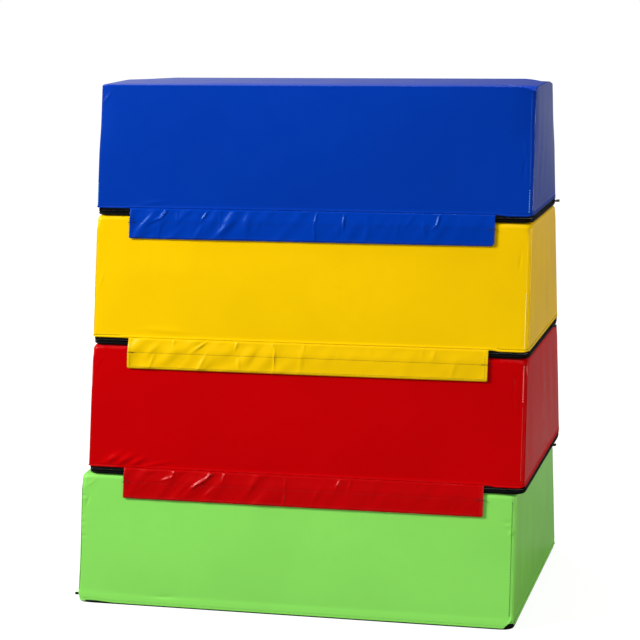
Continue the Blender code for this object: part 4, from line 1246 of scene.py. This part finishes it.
def build_strip(lower, upper, face, kind):
    """A hook or loop strip: a napped field between two flat woven edges."""
    owner = upper if kind == "hook" else lower
    side = -1 if face == "front" else 1
    length = FLAP_LENGTHS[upper.name] - 2 * STRIP_INSET
    top = BLOCK_HEIGHT - STRIP_DROP
    xs = divisions(-length / 2, length / 2, 0.010)[::-side]
    hs = divisions(top - STRIP_HEIGHT, top, 0.004, [top - 0.003, top - STRIP_HEIGHT + 0.003], 0.0005)
    x, height = np.meshgrid(xs, hs)
    from_edge = np.minimum(np.minimum(height - (top - STRIP_HEIGHT), top - height), length / 2 - np.abs(x))
    field = NAP_HEIGHT * smooth_share(from_edge, 0.0018, 0.0030)
    start = FIT_GAP if kind == "loop" else 2 * FIT_GAP + STRIP_THICKNESS
    low = face_reach(lower, x + upper.shift - lower.shift, height) + start
    high = low + STRIP_THICKNESS
    if kind == "loop":
        high = high - NAP_HEIGHT + field
    else:
        low = low + NAP_HEIGHT - field
    shape = Shape()
    shape.add_slab(*(np.stack([x + upper.shift, side * y, height + lower.floor], -1) for y in (high, low)))
    node = f"{owner.name}_{face}_{kind}_strip"
    body = f"{owner.name}_{face}_flap" if kind == "hook" else owner.body
    strip = shape.object(f"{node}_tape", f"{kind}_tape", body, f"{kind}_tape", [node], 30)


# The room


def build_camera():
    camera = add_object("camera", bpy.data.cameras.new("camera"))
    camera.location = CAMERA_PLACE
    turned = Euler((math.pi / 2 - CAMERA_PITCH, 0.0, CAMERA_YAW)).to_matrix()
    rolled = Euler((0.0, 0.0, CAMERA_ROLL)).to_matrix()
    camera.rotation_euler = (turned @ rolled).to_euler()
    camera.data.lens = CAMERA_LENS
    camera.data.sensor_width = 36
    bpy.context.scene.camera = camera


def build_lamp(name, place, target, size, power, colour=(1, 1, 1), spread=180):
    light = bpy.data.lights.new(name, "AREA")
    light.shape = "DISK"
    light.size = size
    light.energy = power
    light.color = colour
    light.spread = math.radians(spread)
    lamp = add_object(name, light)
    lamp.location = place
    lamp.rotation_euler = (Vector(target) - Vector(place)).to_track_quat("-Z", "Y").to_euler()


def build_world():
    """A white backdrop in a room that is dim on the photographer's side, as a studio is."""
    world = bpy.data.worlds.new("room")
    bpy.context.scene.world = world
    nodes = Nodes(world, "Generated")
    to_right, to_back = nodes.axis("X"), nodes.axis("Y")
    room = nodes.spread(to_back, *ROOM_TURNS, ROOM_DIM, ROOM_BRIGHT)
    room = nodes.blend(nodes.ray("Diffuse"), room, ROOM_SOFT)
    reach = (*WINDOW_TURNS, GLOSSY_BACKDROP, GLOSSY_BACKDROP + GLOSSY_WINDOW)
    window = nodes.spread(to_right, *reach, "LINEAR")
    mirrored = nodes.maths("MULTIPLY", window, nodes.maths("GREATER_THAN", to_back, WINDOW_BEHIND))
    strength = nodes.blend(nodes.backdrop_share(1.0, mirrored), room, 1.0)
    nodes.fill(nodes.tree.nodes["Background"], {"Color": (1, 1, 1, 1), "Strength": strength})


def build_floor():
    mesh = bpy.data.meshes.new("floor")
    corners = [(x * FLOOR_HALF, y * FLOOR_HALF, FLOOR_LEVEL) for x, y in ((-1, -1), (1, -1), (1, 1), (-1, 1))]
    mesh.from_pydata(corners, [], [(0, 1, 2, 3)])
    graph = Graph("pale_floor")
    to_back = graph.axis("Y")
    mirrored = graph.spread(to_back, *FLOOR_FAR, 0.0, FLOOR_MIRRORED, "LINEAR")
    seen = graph.spread(to_back, *FLOOR_GLOW_FAR, *FLOOR_GLOW, "LINEAR")
    inputs = {"Base Color": (*FLOOR_COLOUR, 1), "Roughness": 0.9, "Emission Color": (1, 1, 1, 1)}
    graph.fill(graph.shader, {**inputs, "Emission Strength": graph.backdrop_share(seen, mirrored)})
    mesh.materials.append(graph.material)
    floor = add_object("floor", mesh)


def build_vault():
    blocks = [Block(level) for level in range(len(BLOCK_NAMES))]
    for level, block in enumerate(blocks):
        build_foam_core(block)
        build_cover(block)
        build_base_panel(block)
        build_zip(block)
        build_rounded(f"{block.name}_zip_slider")
        build_rounded(f"{block.name}_zip_pull")
        if level == 0:
            continue
        below = blocks[level - 1]
        for face in ("front", "back"):
            build_flap(block, below, face)
            for kind in ("hook", "loop"):
                build_strip(below, block, face, kind)


build_camera()
build_world()
build_floor()
build_lamp("key", (-4.6, -2.7, 4.2), (0.0, 0.0, 0.6), 2.1, 545)
build_lamp("fill", (1.6, -3.2, 0.4), (0.15, 0.0, 0.1), 0.8, 2.4, spread=60)
build_lamp("side", (3.6, 0.8, 1.0), (0.5, 0.0, 0.6), 0.8, 54, (1.0, 0.96, 0.74))
build_lamp("behind", (-1.6, 4.2, 0.6), (0.0, 0.2, 0.5), 0.9, 75)
build_lamp("overhead", (0.0, 0.3, 3.6), (0.0, 0.0, 1.2), 1.0, 50)
bpy.context.scene.view_settings.view_transform = "Standard"
materials = make_materials()
build_vault()
